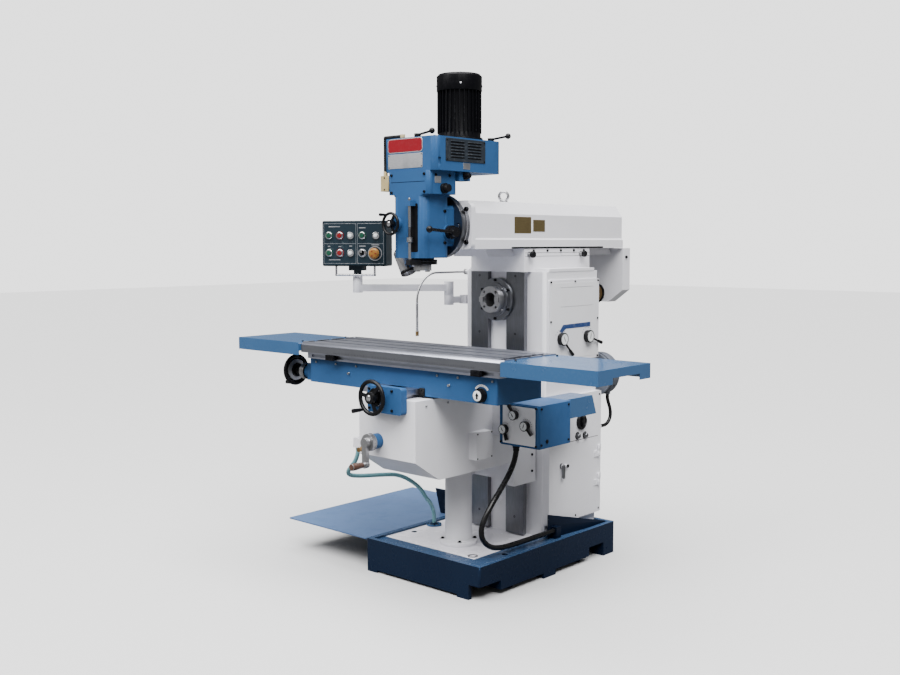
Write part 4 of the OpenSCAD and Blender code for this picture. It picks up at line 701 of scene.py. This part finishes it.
swivel = Spec(axis=(0, -367, 1655.3), inner=147, outer=163, reach=33, lastTick=30,
    tickGap=3)
kit = Kit("swivelScale", "ram_unit", "ground_steel", "plateSilver", "slotDark", "boltBlack")
disc = at(*swivel.axis, "y-")
reach = swivel.reach
for side in (0, 180):
    band = arcBand(swivel.inner, swivel.outer, side - reach, side + reach)
    kit.use("plateSilver").slab(band, 1.2, disc, edge=0.3)
    for t in range(-swivel.lastTick, swivel.lastTick + 1, swivel.tickGap):
        middle, long = (151.5, 7) if t % 15 else (153.5, 11)
        kit.use("slotDark").plate(long, 1.0, 1.5, disc @ turn(side + t) @ shift(middle, 0), r=0.4, edge=0.05)
spots = [at(x, swivel.axis[1], z, "y-") for x in (-143, 143) for z in (1582, 1731)]
kit.use("boltBlack").capScrew(spots, 11)
kit.done()
print("head dressed")

# ram and its guide on the column
ram = Spec(side=162, plates=((15, 1663, 128, 78), (141, 1661, 94, 57)), slot=(170, 300, 1556))
kit = Kit("ramPlates", "ram_unit", "bronze", "plateBrass", "boltBlack", "slotDark")
for y, z, w, h in ram.plates:
    face = at(ram.side, y, z, "x+")
    kit.use("plateBrass").plate(w, h, 1.2, face, r=2.5)
    kit.use("boltBlack").panScrew(corners(face @ shift(0, 0, 1.2), w / 2 - 5, h / 2 - 5), 1.8)
# the dark strips on both sides are painted shadow under the ram's dovetail
x, y, z = ram.slot
kit.use("slotDark").plate(760, 8, 1.0, at(x, y, z, "x+"), edge=0.2)
kit.plate(760, 8, 1.0, at(-x, y, z, "x-"), edge=0.2)
kit.done()

guide = Spec(side=168, clamps=(55, 480), clampZ=1523, screws=(90, 200, 310, 420, 507),
    screwZ=1541, seams=(1531, 1514))
kit = Kit("guideScrews", "machine_frame", "dark_iron", "boltBlack", "gripBlack", "turnedSteel", "slotDark")
for y in guide.clamps:  # ram clamp bolts
    clamp = at(guide.side, y, guide.clampZ, "x+")
    kit.use("turnedSteel").turned([(14, 0), (14, 3), (8, 3.5), (8, 16)], clamp, seg=24)
    kit.use("gripBlack").turned([(8, 15), (15, 17), (17, 24), (15, 33), (8, 36), (0, 36.5)], clamp, seg=24)
for y in guide.screws:
    kit.use("boltBlack").capScrew(at(guide.side, y, guide.screwZ, "x+"), 6)
    kit.capScrew(at(-guide.side, y, guide.screwZ, "x-"), 6)
for z in guide.seams:
    kit.use("slotDark").plate(530, 1.6, 0.4, at(guide.side, 292, z, "x+"), r=0.7, edge=0.1)
kit.done()

arbor = Spec(side=170, back=940, axisZ=1305)
kit = Kit("arborTrim", "arbor_unit", "dark_iron", "boltBlack", "slotDark")
kit.use("boltBlack").capScrew(at(arbor.side, 900, 1502, "x+"), 8)
kit.capScrew(at(-arbor.side, 900, 1502, "x-"), 8)
shadow = [(48.5, 859), (56, 859.5), (56, 869.6), (48.5, 869.6)]  # gap round the bush
kit.use("slotDark").turned(shadow, shift(0, 0, arbor.axisZ) @ turn(-90, "X"), seg=40)
spots = [at(x, arbor.back, z, "y+") for x, z in ((-66, 1660), (-110, 1500), (66, 1660), (110, 1500))]
kit.use("boltBlack").hexBolt(spots, 11)
kit.capScrew(at(24, arbor.back, 1268, "y+"), 7)
kit.done()

# column: speed panel with two dials
speed = Spec(side=258, panel=(309, 1199, 392, 372), dialZ=1112, dialFront=282.3, dots=46,
    dials={"Left": (194, 115), "Right": (414, 75)}, lines=(1268, 1362),
    band=[(180, 1147), (207, 1141), (235, 1159), (443, 1160), (443, 1183), (212, 1180)])
kit = Kit("speedPanelTrim", "machine_frame", "paint_white", "bandBlue", "boltBlack", "panelWhite",
    "plateSilver")
side = speed.side
y, z, w, h = speed.panel
kit.use("panelWhite").plate(w, h, 0.8, at(side, y, z, "x+"), r=4, edge=0.3)
kit.use("bandBlue").slab(speed.band, 1.3, at(side, 0, 0, "x+"), edge=0.3)
for dy in (-197, 0, 197):
    for dz in (191, 0, -191):
        if dy or dz:
            kit.use("boltBlack").capScrew(at(side, y + dy, z + dz, "x+"), 5)
for y, _ in speed.dials.values():
    for a in range(30, 151, 20):
        dot = at(side, y, speed.dialZ, "x+") @ polar(speed.dots, a)
        kit.use("bandBlue").turned([(2.2, 0), (2.2, 1.4), (0, 1.5)], dot, seg=12)
for z in speed.lines:
    kit.use("plateSilver").plate(270, 1.6, 1.2, at(side, 325, z, "x+"), r=0.7, edge=0.2)
kit.done()

def dialFace(name, body, place, r, rim, needle, ticks=12):
    kit = Kit(name, body, "paint_white", "lensWhite", "slotDark", "gripBlack")
    kit.use("lensWhite").turned([(r, 0), (r, 0.6), (r - 0.6, 1.0), (0, 1.0)], place, seg=36)
    drum = [(10, -10), (rim - 1.5, -10), (rim, -8.5), (rim, -0.6), (rim - 1.4, 1.2), (r + 0.4, 1.8),
        (r, 1.0)]
    kit.use("gripBlack").turned(drum, place, seg=40)
    for n in range(ticks):
        spot = place @ turn(360 * n / ticks) @ shift(r - 3.5, 0)
        kit.use("slotDark").plate(3.6, 0.9, 1.25, spot, r=0.3, edge=0.05)
    hand = [(-r * 0.45, -1.4), (r * 0.2, -2.0), (r * 0.74, 0), (r * 0.2, 2.0), (-r * 0.45, 1.4)]
    kit.slab(hand, 1.8, place @ turn(needle), edge=0.2)
    return kit.done()

for which, (y, needle) in speed.dials.items():
    place = at(speed.dialFront, y, speed.dialZ, "x+")
    dialFace("speedFace" + which, f"speed_lever_{which.lower()}_body", place, 26.5, 32, needle)

bearing = Spec(axisZ=1305, capFront=6, capRing=94, noseFront=-4, noseRing=73,
    wayFront=25.2, wayX=113, wayScrews=(240, 420, 600, 780, 960, 1140, 1420))
kit = Kit("bearingCapBolts", "machine_frame", "dark_iron", "boltBlack", "turnedSteel")
cap = at(0, bearing.capFront, bearing.axisZ, "y-")
kit.use("boltBlack").capScrew([cap @ polar(bearing.capRing, a) for a in range(30, 360, 60)], 7)
nose = at(0, bearing.noseFront, bearing.axisZ, "y-")
kit.use("turnedSteel").capScrew([nose @ polar(bearing.noseRing, a) for a in range(45, 360, 90)], 4.5)
spots = [at(x, bearing.wayFront, z, "y-") for x in (-bearing.wayX, bearing.wayX) for z in bearing.wayScrews]
kit.use("boltBlack").capScrew(spots, 6)
kit.done()

# cabinet: two knobs, round handle, door joint; then the door's latch and lock
cabinet = Spec(side=280.0, knobs=((310, 622), (374, 618)), round=(340, 690, 40), joint=(298, 600),
    screwY=(96, 300, 500), screwZ=(812, 222), latch=(176, 491), latchBar=(298, 176, 464),
    lock=(212, 487))
kit = Kit("cabinetTrim", "machine_frame", "paint_white", "latchSteel", "gripBlack", "slotDark", "boltBlack")
side = cabinet.side
knob = [(15, 0), (15, 4), (13, 6), (11, 6.5), (11, 14), (9.5, 16), (0, 16.5)]
for y, z in cabinet.knobs:
    kit.use("latchSteel").turned(knob, at(side, y, z, "x+"), seg=28)
    kit.use("slotDark").turned([(19, 0), (19, 0.8), (15, 0.8)], at(side, y, z, "x+"), seg=28)
y, z, r = cabinet.round
dish = [(r, 0), (r, 8), (r - 4, 12), (r - 12, 13), (r - 14, 10), (0, 10)]
kit.use("gripBlack").turned(dish, at(side, y, z, "x+"), seg=40)
kit.plate(16, 58, 22, at(side, y, z, "x+"), r=6, edge=2.5)
kit.use("slotDark").plate(384, 2.4, 0.4, at(side, *cabinet.joint, "x+"), r=1, edge=0.1)
kit.use("boltBlack").panScrew([at(side, y, z, "x+") for y in cabinet.screwY for z in cabinet.screwZ], 5)
kit.done()

kit = Kit("doorSeal", "cabinet_door_body", "paint_white", "latchSteel", "gripBlack", "slotDark")
latch = [(13, 0), (13, 3), (11.5, 4), (11.5, 8.2)]
kit.use("latchSteel").turned(latch, at(side, *cabinet.latch, "x+"), seg=28)
kit.plate(18, 69, 1.2, at(*cabinet.latchBar, "x+"), r=6, edge=0.4, back=7)
lock = at(side, *cabinet.lock, "x+")
kit.use("gripBlack").turned([(9.4, 13), (9.4, 16), (8, 17), (0, 17)], lock, seg=24)
kit.use("slotDark").plate(2.4, 9, 17.6, lock, r=0.8, edge=0.1)
kit.done()

# column: access covers at the left, panel with louvres and bolts behind
covers = Spec(left=-250, y=300, low=(700, 420, 5), high=(1200, 300, 4), width=300,
    screwY=136, back=520, panel=(0, 420, 380, 420), louvres=8, louvreX=86, louvrePitch=24,
    hood=[(-66, 0), (66, 0), (64, 6), (-64, 6)])
kit = Kit("columnCovers", "machine_frame", "paint_white", "whiteEnamel", "boltBlack", "slotDark")
for (z, h, t), rows in ((covers.low, (-196, 0, 196)), (covers.high, (-136, 136))):
    cover = at(covers.left, covers.y, z, "x-")
    kit.use("whiteEnamel").plate(covers.width, h, t, cover, r=8, edge=1.5)
    spots = [cover @ shift(dy, dz, t) for dy in (covers.screwY, -covers.screwY) for dz in rows]
    kit.use("boltBlack").capScrew(spots, 6)
x, z, w, h = covers.panel
kit.use("whiteEnamel").plate(w, h, 4, at(x, covers.back, z, "y+"), r=8, edge=1.5)
# the dark plates under the louvre hoods are painted shade in the openings
for x in (-covers.louvreX, covers.louvreX):
    for row in range(covers.louvres):
        slit = at(x, covers.back, 320 + row * covers.louvrePitch, "y+")
        kit.use("slotDark").plate(130, 7, 4.4, slit, r=3, edge=0.1)
        kit.use("whiteEnamel").slab(covers.hood, 10, slit @ shift(0, 3), edge=2)
kit.use("boltBlack").panScrew([at(x, covers.back + 4, z, "y+") for x in (-176, 176) for z in (226, 614)], 6)
kit.hexBolt(corners(at(-30, 536, 845, "y+"), 100, 158), 9)
kit.capScrew(corners(at(0, 574, 1270, "y+"), 112, 96), 7)
kit.done()

# rear drive motor: fan grille over a dark disc of painted shade, and cowl screws
rearDrive = Spec(back=(215.0, 616.0, 905.0), cowl=110.0, disc=92, rings=(24, 40, 56, 72, 88))
kit = Kit("rearMotorGrille", "machine_frame", "paint_blue", "motorGrey", "slotDark", "boltBlack")
back = at(*rearDrive.back, "y+")
# the dark disc is painted shade behind the grille
kit.use("slotDark").turned([(rearDrive.disc, -1), (rearDrive.disc, 0.4), (0, 0.4)], back, seg=48)
for r in rearDrive.rings:
    kit.use("motorGrey").turned([(r - 4.5, 0), (r - 4.5, 2), (r + 4.5, 2), (r + 4.5, 0)], back, seg=48)
for a in range(0, 360, 60):
    kit.plate(82, 8, 2.6, back @ turn(a) @ shift(50, 0))
spots = [back @ turn(a) @ shift(rearDrive.cowl, 0, -30) @ turn(90, "Y") for a in range(30, 360, 60)]
kit.use("boltBlack").panScrew(spots, 4)
kit.done()
print("column dressed")

# feed gearbox: panel, three dials as x, z, middle of the dots and needle
feed = Spec(face=-292.0, panel=(386, 763, 186, 172), screwX=(283, 484), screwZ=(680, 849),
    dials={"Top": (365, 810, 110, 125), "Left": (307, 740, 120, 120), "Right": (429, 767, 60, 75)},
    dots=30, dialFront=-314.3, side=495, plug=(-228, 696), gland=(330, -240, 658))
kit = Kit("feedPanel", "knee_unit", "paint_white", "panelWhite", "boltBlack", "slotDark", "rubberBlack")
x, z, w, h = feed.panel
kit.use("panelWhite").plate(w, h, 0.9, at(x, feed.face, z, "y-"), r=3, edge=0.3)
kit.use("boltBlack").capScrew([at(x, feed.face, z, "y-") for x in feed.screwX for z in feed.screwZ], 5)
for x, z, middle, _ in feed.dials.values():
    for n in range(7):
        dot = at(x, feed.face, z, "y-") @ polar(feed.dots, middle - 60 + 20 * n)
        kit.use("slotDark").turned([(1.6, 0.8), (1.6, 1.2), (0, 1.3)], dot, seg=10)
plug = at(feed.side, *feed.plug, "x+")
kit.use("boltBlack").turned([(9, 0), (9, 3), (7, 4.5), (0, 4.8)], plug, seg=24)
kit.capScrew([at(feed.side, y, z, "x+") for y in (-270, -66) for z in (684, 846)], 5)
gland = [(16.5, 0), (16.5, 9), (14.5, 10), (14.5, 22), (13.4, 24)]
kit.use("rubberBlack").turned(gland, at(*feed.gland, "z-"), seg=28)
kit.done()
for which, (x, z, _, needle) in feed.dials.items():
    place = at(x, feed.dialFront, z, "y-")
    dialFace("feedFace" + which, f"feed_lever_{which.lower()}_body", place, 19, 22.5, needle, ticks=8)

# knee: side cover, gib screws of the clamp, hose fitting, screws of the wheel bracket
knee = Spec(cover=(244, -365, 667), gibX=208, gibZ=(480, 560, 640, 720, 800), sideX=200,
    sideY=(-700, -560, -420), fitting=(-122, -766, 662), bracketFront=-800)
kit = Kit("kneeTrim", "knee_unit", "paint_white", "whiteEnamel", "boltBlack", "turnedSteel", "bushBronze")
cover = at(*knee.cover, "x+")
kit.use("whiteEnamel").plate(112, 126, 4, cover, r=4, edge=1.2)
kit.use("boltBlack").panScrew(corners(cover @ shift(0, 0, 4), 49, 56), 4)
for x, way in ((-knee.gibX, "x-"), (knee.gibX, "x+")):
    kit.capScrew([at(x, 34, z, way) for z in knee.gibZ], 6)
kit.use("turnedSteel").capScrew([at(knee.sideX, y, 880, "x+") for y in knee.sideY], 5)
fitting = [(13, 0), (13, 12), (9, 14), (9, 26), (11, 27), (11, 33), (0, 34)]
kit.use("bushBronze").turned(fitting, at(*knee.fitting, "y-"), seg=20)
kit.use("boltBlack").capScrew([at(x, knee.bracketFront, z, "y-") for x in (-46, 94) for z in (945, 860)], 6)
kit.done()

# saddle: arc over the feed knob, way wipers, screws, oil nipples
saddle = Spec(front=-660, back=-360, knob=(481, 950), wiperX=141, screwZ=1012,
    screws=(-560, -420, -280, 230, 350, 540), nipples=(-330, 300), wheelEnd=(-667, -590, 954))
kit = Kit("saddleTrim", "saddle_unit", "dark_iron", "panelWhite", "slotDark", "boltBlack", "rubberBlack",
    "turnedSteel")
x, z = saddle.knob
arc = at(x, saddle.front, z, "y-")
kit.use("panelWhite").slab(arcBand(36, 45, 35, 145), 1.0, arc, edge=0.3)
for a in range(45, 136, 15):
    kit.use("slotDark").plate(5, 1.4, 1.3, arc @ turn(a) @ shift(40.5, 0), r=0.4, edge=0.05)
for y, way in ((saddle.front, "y-"), (saddle.back, "y+")):
    for x in (-saddle.wiperX, saddle.wiperX):
        wiper = at(x, y, 932, way)
        kit.use("rubberBlack").plate(30, 34, 6, wiper, edge=1)
        kit.use("boltBlack").panScrew(wiper @ shift(0, 8, 6), 4)
for x in saddle.screws:
    kit.use("turnedSteel").capScrew(at(x, saddle.front, saddle.screwZ, "y-"), 5)
    kit.capScrew(at(x, saddle.back, saddle.screwZ, "y+"), 5)
nipple = [(5, 0), (5, 3), (3.5, 4), (3.5, 8), (5, 10), (0, 12)]
for x in saddle.nipples:
    kit.turned(nipple, at(x, saddle.front, 975, "y-"), seg=16)
kit.use("boltBlack").capScrew(corners(at(*saddle.wheelEnd, "x-"), 30, 30), 5)
kit.done()

feedKnob = Spec(face=(481, -690.3, 950), radius=22)
kit = Kit("feedKnobFace", "feed_knob_body", "paint_white", "lensWhite", "slotDark")
face = at(*feedKnob.face, "y-")
r = feedKnob.radius
kit.use("lensWhite").turned([(r, 0), (r, 0.8), (r - 1, 1.2), (0, 1.2)], face, seg=36)
arrow = [(-5, -14), (5, -14), (5, -1), (10, -1), (0, 15), (-10, -1), (-5, -1)]
kit.use("slotDark").slab(arrow, 1.8, face, edge=0.3)
kit.done()

# table: dark band with its scale, tray screws, slot ends with painted shade in them
table = Spec(front=-700, bandZ=1077, band=(1248, 33), ticks=87, tickGap=10, firstTick=-388,
    tickZ=1068, middle=(0, -520), screwTop=1104.3, gutterTop=1096.5, gutterX=596)
kit = Kit("tableTrim", "table_unit", "ground_steel", "bandSteel", "slotDark", "boltBlack")
band = at(0, table.front, table.bandZ, "y-")
kit.use("bandSteel").plate(*table.band, 0.7, band, r=1, edge=0.2)
for n in range(table.ticks):
    x = table.firstTick + n * table.tickGap
    tick = at(x, table.front, table.tickZ, "y-")
    kit.use("slotDark").plate(1.0, 6 if n % 10 else 10, 1.0, tick, r=0.3, edge=0.05)
kit.use("boltBlack").capScrew(corners(at(*table.middle, table.screwTop, "z+"), 660, 140), 5)
# the dark plates at the slot ends are painted shade in the recesses
gutter = at(*table.middle, table.gutterTop, "z+")
for x in (table.gutterX, -table.gutterX):
    kit.use("slotDark").plate(33, 310, 0.4, gutter @ shift(x, 0), r=9, edge=0.1)
kit.done()

# handwheels: graduated collars, then caps
def collar(name, body, place, r, width, ticks=60):
    kit = Kit(name, body, "ground_steel", "turnedSteel", "slotDark")
    ring = [(r - 6, 0), (r + 0.4, 0.4), (r + 0.4, width - 0.4), (r - 6, width)]
    kit.use("turnedSteel").turned(ring, place, seg=48)
    for n in range(ticks):
        long = width * (0.38 if n % 5 else 0.62)
        spot = place @ turn(360 * n / ticks) @ shift(r + 0.2, 0, long / 2 + 1) @ turn(90, "Y")
        kit.use("slotDark").plate(long, 0.9, 0.5, spot, r=0.3, edge=0.05)
    return kit.done()

collar("tableCollar", "table_handwheel_body", at(-697.5, -590, 950, "x-"), 40, 30)
collar("crossCollar", "cross_handwheel_body", at(20, -816.6, 915, "y-"), 40, 15)
collar("kneeCollar", "knee_crank_body", at(-30, -806.6, 710, "y-"), 38, 24)

wheels = Spec(crank=(-30, -852.3, 615), table=(-797, -590, 950), cross=(20, -850.3, 915),
    fine=(-66, -644.3, 1664.3))
kit = Kit("crankGrip", "knee_crank_body", "bronze", "brownGrip")
grip = [(10.6, 8), (13, 12), (15.8, 50), (16, 68), (13, 75), (0, 76)]
kit.use("brownGrip").turned(grip, at(*wheels.crank, "y-"), seg=28)
kit.done()
kit = Kit("tableWheelCap", "table_handwheel_body", "ground_steel", "plateSilver", "brightChrome",
    "gripBlack")
outside = at(*wheels.table, "x-")
inside = at(*wheels.table, "x+")
kit.use("gripBlack").turned([(66, -4), (66, 3), (52, 5), (50, -3)], outside, seg=48)
kit.use("plateSilver").turned([(50, -3), (50, 4), (46, 6), (32, 9), (30.5, 14)], outside, seg=48)
kit.turned([(54, 3), (52, 6), (36, 9), (34, 7)], inside, seg=48)
kit.use("brightChrome").turned([(13.5, 16), (13.5, 18), (9, 20), (0, 20.5)], outside, seg=24)
kit.done()
kit = Kit("crossWheelCap", "cross_handwheel_body", "ground_steel", "brightChrome")
kit.turned([(13.5, 16), (13.5, 20), (9, 23), (0, 23.5)], at(*wheels.cross, "y-"), seg=24)
kit.done()
kit = Kit("fineWheelCap", "fine_feed_wheel_body", "ground_steel", "brightChrome")
kit.turned([(11.5, 8), (11.5, 13), (8, 15), (0, 15.4)], at(*wheels.fine, "y-"), seg=24)
kit.done()
print("controls dressed")

# pendant: u runs across its face, v up; fields framed in silver
pend = Spec(origin=(-620, -330, 1464), yaw=30.0, face=-67.0, high=152, low=66,
    start=-127, stop=-71, lamp=-15, knob=45, end=116, fields=((-154, 12), (20, 154)),
    frameV=(14, 112, 211), screwU=(-156, 156), screwV=(10, 215),
    bail=[(-100, -37, 1), (-100, -37, -38), (-97, -37, -43), (-92, -37, -44), (92, -37, -44),
        (97, -37, -43), (100, -37, -38), (100, -37, 1)])
pendPlace = shift(*pend.origin) @ turn(pend.yaw)
high, low = pend.high, pend.low
buttons = {"start": (pend.start, high, "greenCap"), "stop": (pend.stop, high, "redCap"),
    "feed_start": (pend.start, low, "greenCap"), "feed_stop": (pend.stop, low, "redCap"),
    "coolant": (pend.knob, high, "greenCap")}
stopSpot = (pend.end - 6, low - 2)
labelBars = ((-99, 196, 60), (-99, 32, 60), (pend.knob, 190, 34), (pend.knob, 100, 34),
    (pend.end - 4, 106, 40), (pend.lamp, 100, 14), (pend.start, 98, 14), (pend.stop, 98, 14))

def onFace(u, v, out=0.0):
    return pendPlace @ at(u, pend.face - out, v, "y-")

kit = Kit("pendantTrim", "pendant_unit", "pendant_teal", "brightChrome", "lensWhite", "plateSilver",
    "boltBlack", "redCap", "greenCap")
kit.use("plateSilver")
for left, right in pend.fields:
    for v in pend.frameV:
        kit.plate(right - left, 1.3, 0.6, onFace((left + right) / 2, v, -2), r=0.5, edge=0.1)
    for u in (left, right):
        kit.plate(1.3, 198, 0.6, onFace(u, 112.5, -2), r=0.5, edge=0.1)
bezel = [(17.6, 0), (17.6, 2), (16, 3.2), (12.2, 3.2), (11.6, 2)]
for u, v, ring in list(buttons.values()) + [(pend.knob, low, "plateSilver")]:
    kit.use("brightChrome").turned(bezel, onFace(u, v, 2.6))
    kit.use(ring).turned([(21, -2), (21, -1.2), (18, -1.2)], onFace(u, v))
lens = [(11.4, 0), (11.4, 9), (9.5, 12), (5, 13.6), (0, 14)]
for u, v in ((pend.lamp, high), (pend.lamp, low), (pend.end, high)):  # signal lamps
    kit.use("brightChrome").turned([(17.6, 0), (17.6, 2), (15, 3), (11.6, 3)], onFace(u, v, 2))
    kit.use("lensWhite").turned(lens, onFace(u, v, 2.2), seg=28)
kit.use("plateSilver").turned([(36, -2), (36, -0.8), (31.5, -0.8)], onFace(*stopSpot), seg=40)
kit.use("boltBlack").panScrew([onFace(u, v, -2) for u in pend.screwU for v in pend.screwV], 3)
for u, v, w in labelBars:
    kit.use("plateSilver").plate(w, 4.5, 0.6, onFace(u, v, -2), r=0.8, edge=0.1)
kit.use("brightChrome").tube([pendPlace @ Vector(p) for p in pend.bail], 5.5, seg=14)
kit.done()

kit = Kit("stopCap", "emergency_button_body", "amber_plastic", "amberCap", "redCap")
mushroom = [(26.6, 14), (26.6, 21), (24, 26), (18.6, 31.6), (8, 33.4), (0, 33.8)]
kit.use("amberCap").turned(mushroom, onFace(*stopSpot), seg=36)
for a in range(0, 360, 120):
    spot = onFace(*stopSpot) @ turn(a) @ shift(12, 0, 33)
    kit.use("redCap").slab([(-4, -2.4), (2, -2.4), (5, 0), (2, 2.4), (-4, 2.4)], 1.2, spot, edge=0.2)
kit.done()
for tag, (u, v, cap) in buttons.items():
    kit = Kit(tag + "Cap", tag + "_button_body", "black_plastic", cap)
    kit.turned([(10.6, 10.6), (10.6, 11.6), (8.5, 12.2), (4, 11.8), (0, 11.7)], onFace(u, v), seg=28)
    kit.done()
kit = Kit("modeMark", "mode_switch_body", "paint_white", "lensWhite")
kit.plate(1.8, 12, 0.5, onFace(pend.knob, low + 7, 20), r=0.6, edge=0.1)
kit.done()

# work lamp: black rim, reflector, bulb and cooling slots
workLamp = Spec(place=(-176.3, -452.3, 1506.3), tilt=-28, slots=10, slotRing=36.2, slotUp=22)
lampPlace = shift(*workLamp.place) @ turn(workLamp.tilt, "Y")
kit = Kit("lampTrim", "work_lamp_body", "lamp_chrome", "gripBlack", "brightChrome", "lensWhite", "slotDark")
rim = [(31.6, -70), (31.6, -76), (36.8, -76), (37.2, -74), (37.2, -64), (36.4, -62)]
kit.use("gripBlack").turned(rim, lampPlace, seg=40)
kit.use("brightChrome").turned([(31.4, -74), (30, -60), (24, -40), (14, -24), (8, -17)], lampPlace, seg=36)
bulb = [(0, -56), (8, -54), (13, -47), (14, -40), (10, -30), (7, -22), (7, -16)]
kit.use("lensWhite").turned(bulb, lampPlace, seg=28)
# the dark plates in the cooling slots are painted shade in the openings
for n in range(workLamp.slots):
    a = 360 * n / workLamp.slots
    wall = lampPlace @ shift(0, 0, workLamp.slotUp) @ polar(workLamp.slotRing, a) @ turn(a)
    kit.use("slotDark").plate(3, 9, 0.5, wall @ turn(90, "Y") @ turn(90), r=1.2, edge=0.1)
kit.done()

# nozzle: ribbed flexible end
nozzle = Spec(axis=(-274, -260), low=1153, ribs=38, pitch=3.6, tip=1128)
kit = Kit("nozzleRibs", "nozzle_pipe_body", "ground_steel", "bushBronze", "brightChrome")
ribs = []
for n in range(nozzle.ribs):
    z = n * nozzle.pitch
    ribs += [(5.2, z), (6.3, z + 0.9), (6.3, z + 2.4), (5.2, z + 3.3)]
kit.use("brightChrome").turned(ribs, at(*nozzle.axis, nozzle.low, "z+"), seg=20)
tip = at(*nozzle.axis, nozzle.tip, "z+")
kit.use("bushBronze").turned([(8.4, 0), (8.4, 20), (5.4, 24)], tip, seg=20)
kit.done()

# deck: drain collar of the hose, bolts of the post and column, plug; a navy sheet of painted shade on the
# tray's back wall
deck = Spec(drain=(-300, -115, 150), drainBolts=31, post=(0, -265, 172), postBolts=77,
    columnBolts=((-215, 40, 150.6), (215, 40, 150.6)), plug=(200, -392, 150),
    wall=[(-419, 160.5), (-253, 160.5), (-253, 287.5), (-455, 287.5)], wallY=62)
kit = Kit("deckTrim", "machine_frame", "paint_blue", "boltBlack", "lightBlueEnamel", "slotDark",
    "turnedSteel")
drain = at(*deck.drain, "z+")
kit.use("lightBlueEnamel").turned([(14, 8.4), (38.6, 8.4), (39, 7.6), (39, 0.6), (37, 0.6)], drain, seg=40)
kit.use("slotDark").turned([(13.6, 8.6), (24, 8.7)], drain)
for a in range(45, 360, 90):
    kit.use("boltBlack").capScrew(drain @ shift(0, 0, 8.4) @ polar(deck.drainBolts, a), 3.6)
    kit.hexBolt(at(*deck.post, "z+") @ polar(deck.postBolts, a), 7)
kit.hexBolt([at(*place, "z+") for place in deck.columnBolts], 9)
kit.use("turnedSteel").turned([(24, 0.6), (24, 3), (20, 4), (16, 3), (16, 1)], at(*deck.plug, "z+"))
kit.done()
# navy sheet over the tray's back wall: painted shade
kit = Kit("trayWallShade", "machine_frame", "paint_navy", "navyEnamel")
kit.slab(deck.wall, 0.8, at(0, deck.wallY, 0, "y-"), edge=0.2)
kit.done()
print("base dressed")

# pale floor and soft light, in metres and watts; the camera sees floor and sky brighter than they light
studio = Spec(floor=30, floorTone=(0.08, 0.56), floorRough=0.7, sky=(0.24, 2.3), sun=10.6,
    sunWidth=75, sunWay=(-0.10, 0.22, -1.0), aim=(0, -0.2, 1.0), lampSize=3.0,
    lamps={"key": ((-2.6, -5.2, 4.8), 200), "fill": ((4.2, -3.2, 6.0), 360)})

def asSeen(tree, pair, socket):
    seen = tree.nodes.new("ShaderNodeLightPath").outputs["Is Camera Ray"]
    tree.links.new(rangeOf(tree, seen, 0.0, 1.0, *pair), socket)

def addLight(name, data, way):
    o = bpy.data.objects.new(name, data)
    o.rotation_euler = way.to_track_quat("-Z", "Y").to_euler()
    bpy.context.scene.collection.objects.link(o)
    return o

r = studio.floor
floorMesh = bpy.data.meshes.new("paleFloor")
floorMesh.from_pydata([(-r, -r, 0), (r, -r, 0), (r, r, 0), (-r, r, 0)], [], [(0, 1, 2, 3)])
floor = bpy.data.objects.new("paleFloor", floorMesh)
bpy.context.scene.collection.objects.link(floor)
floorMat = bpy.data.materials.new("paleFloor")
floorMat.use_nodes = True
floorShader = floorMat.node_tree.nodes["Principled BSDF"].inputs
asSeen(floorMat.node_tree, studio.floorTone, floorShader["Base Color"])
floorShader["Roughness"].default_value = studio.floorRough
floorMesh.materials.append(floorMat)

world = bpy.data.worlds.new("studioWhite")
bpy.context.scene.world = world
world.use_nodes = True
background = world.node_tree.nodes["Background"].inputs
background["Color"].default_value = (1.0, 1.0, 1.0, 1)
asSeen(world.node_tree, studio.sky, background["Strength"])
sun = bpy.data.lights.new("top", "SUN")
sun.energy = studio.sun
sun.angle = math.radians(studio.sunWidth)
addLight("top", sun, Vector(studio.sunWay))
for name, (place, watts) in studio.lamps.items():
    lamp = bpy.data.lights.new(name, "AREA")
    lamp.size = studio.lampSize
    lamp.energy = watts
    addLight(name, lamp, Vector(studio.aim) - Vector(place)).location = place
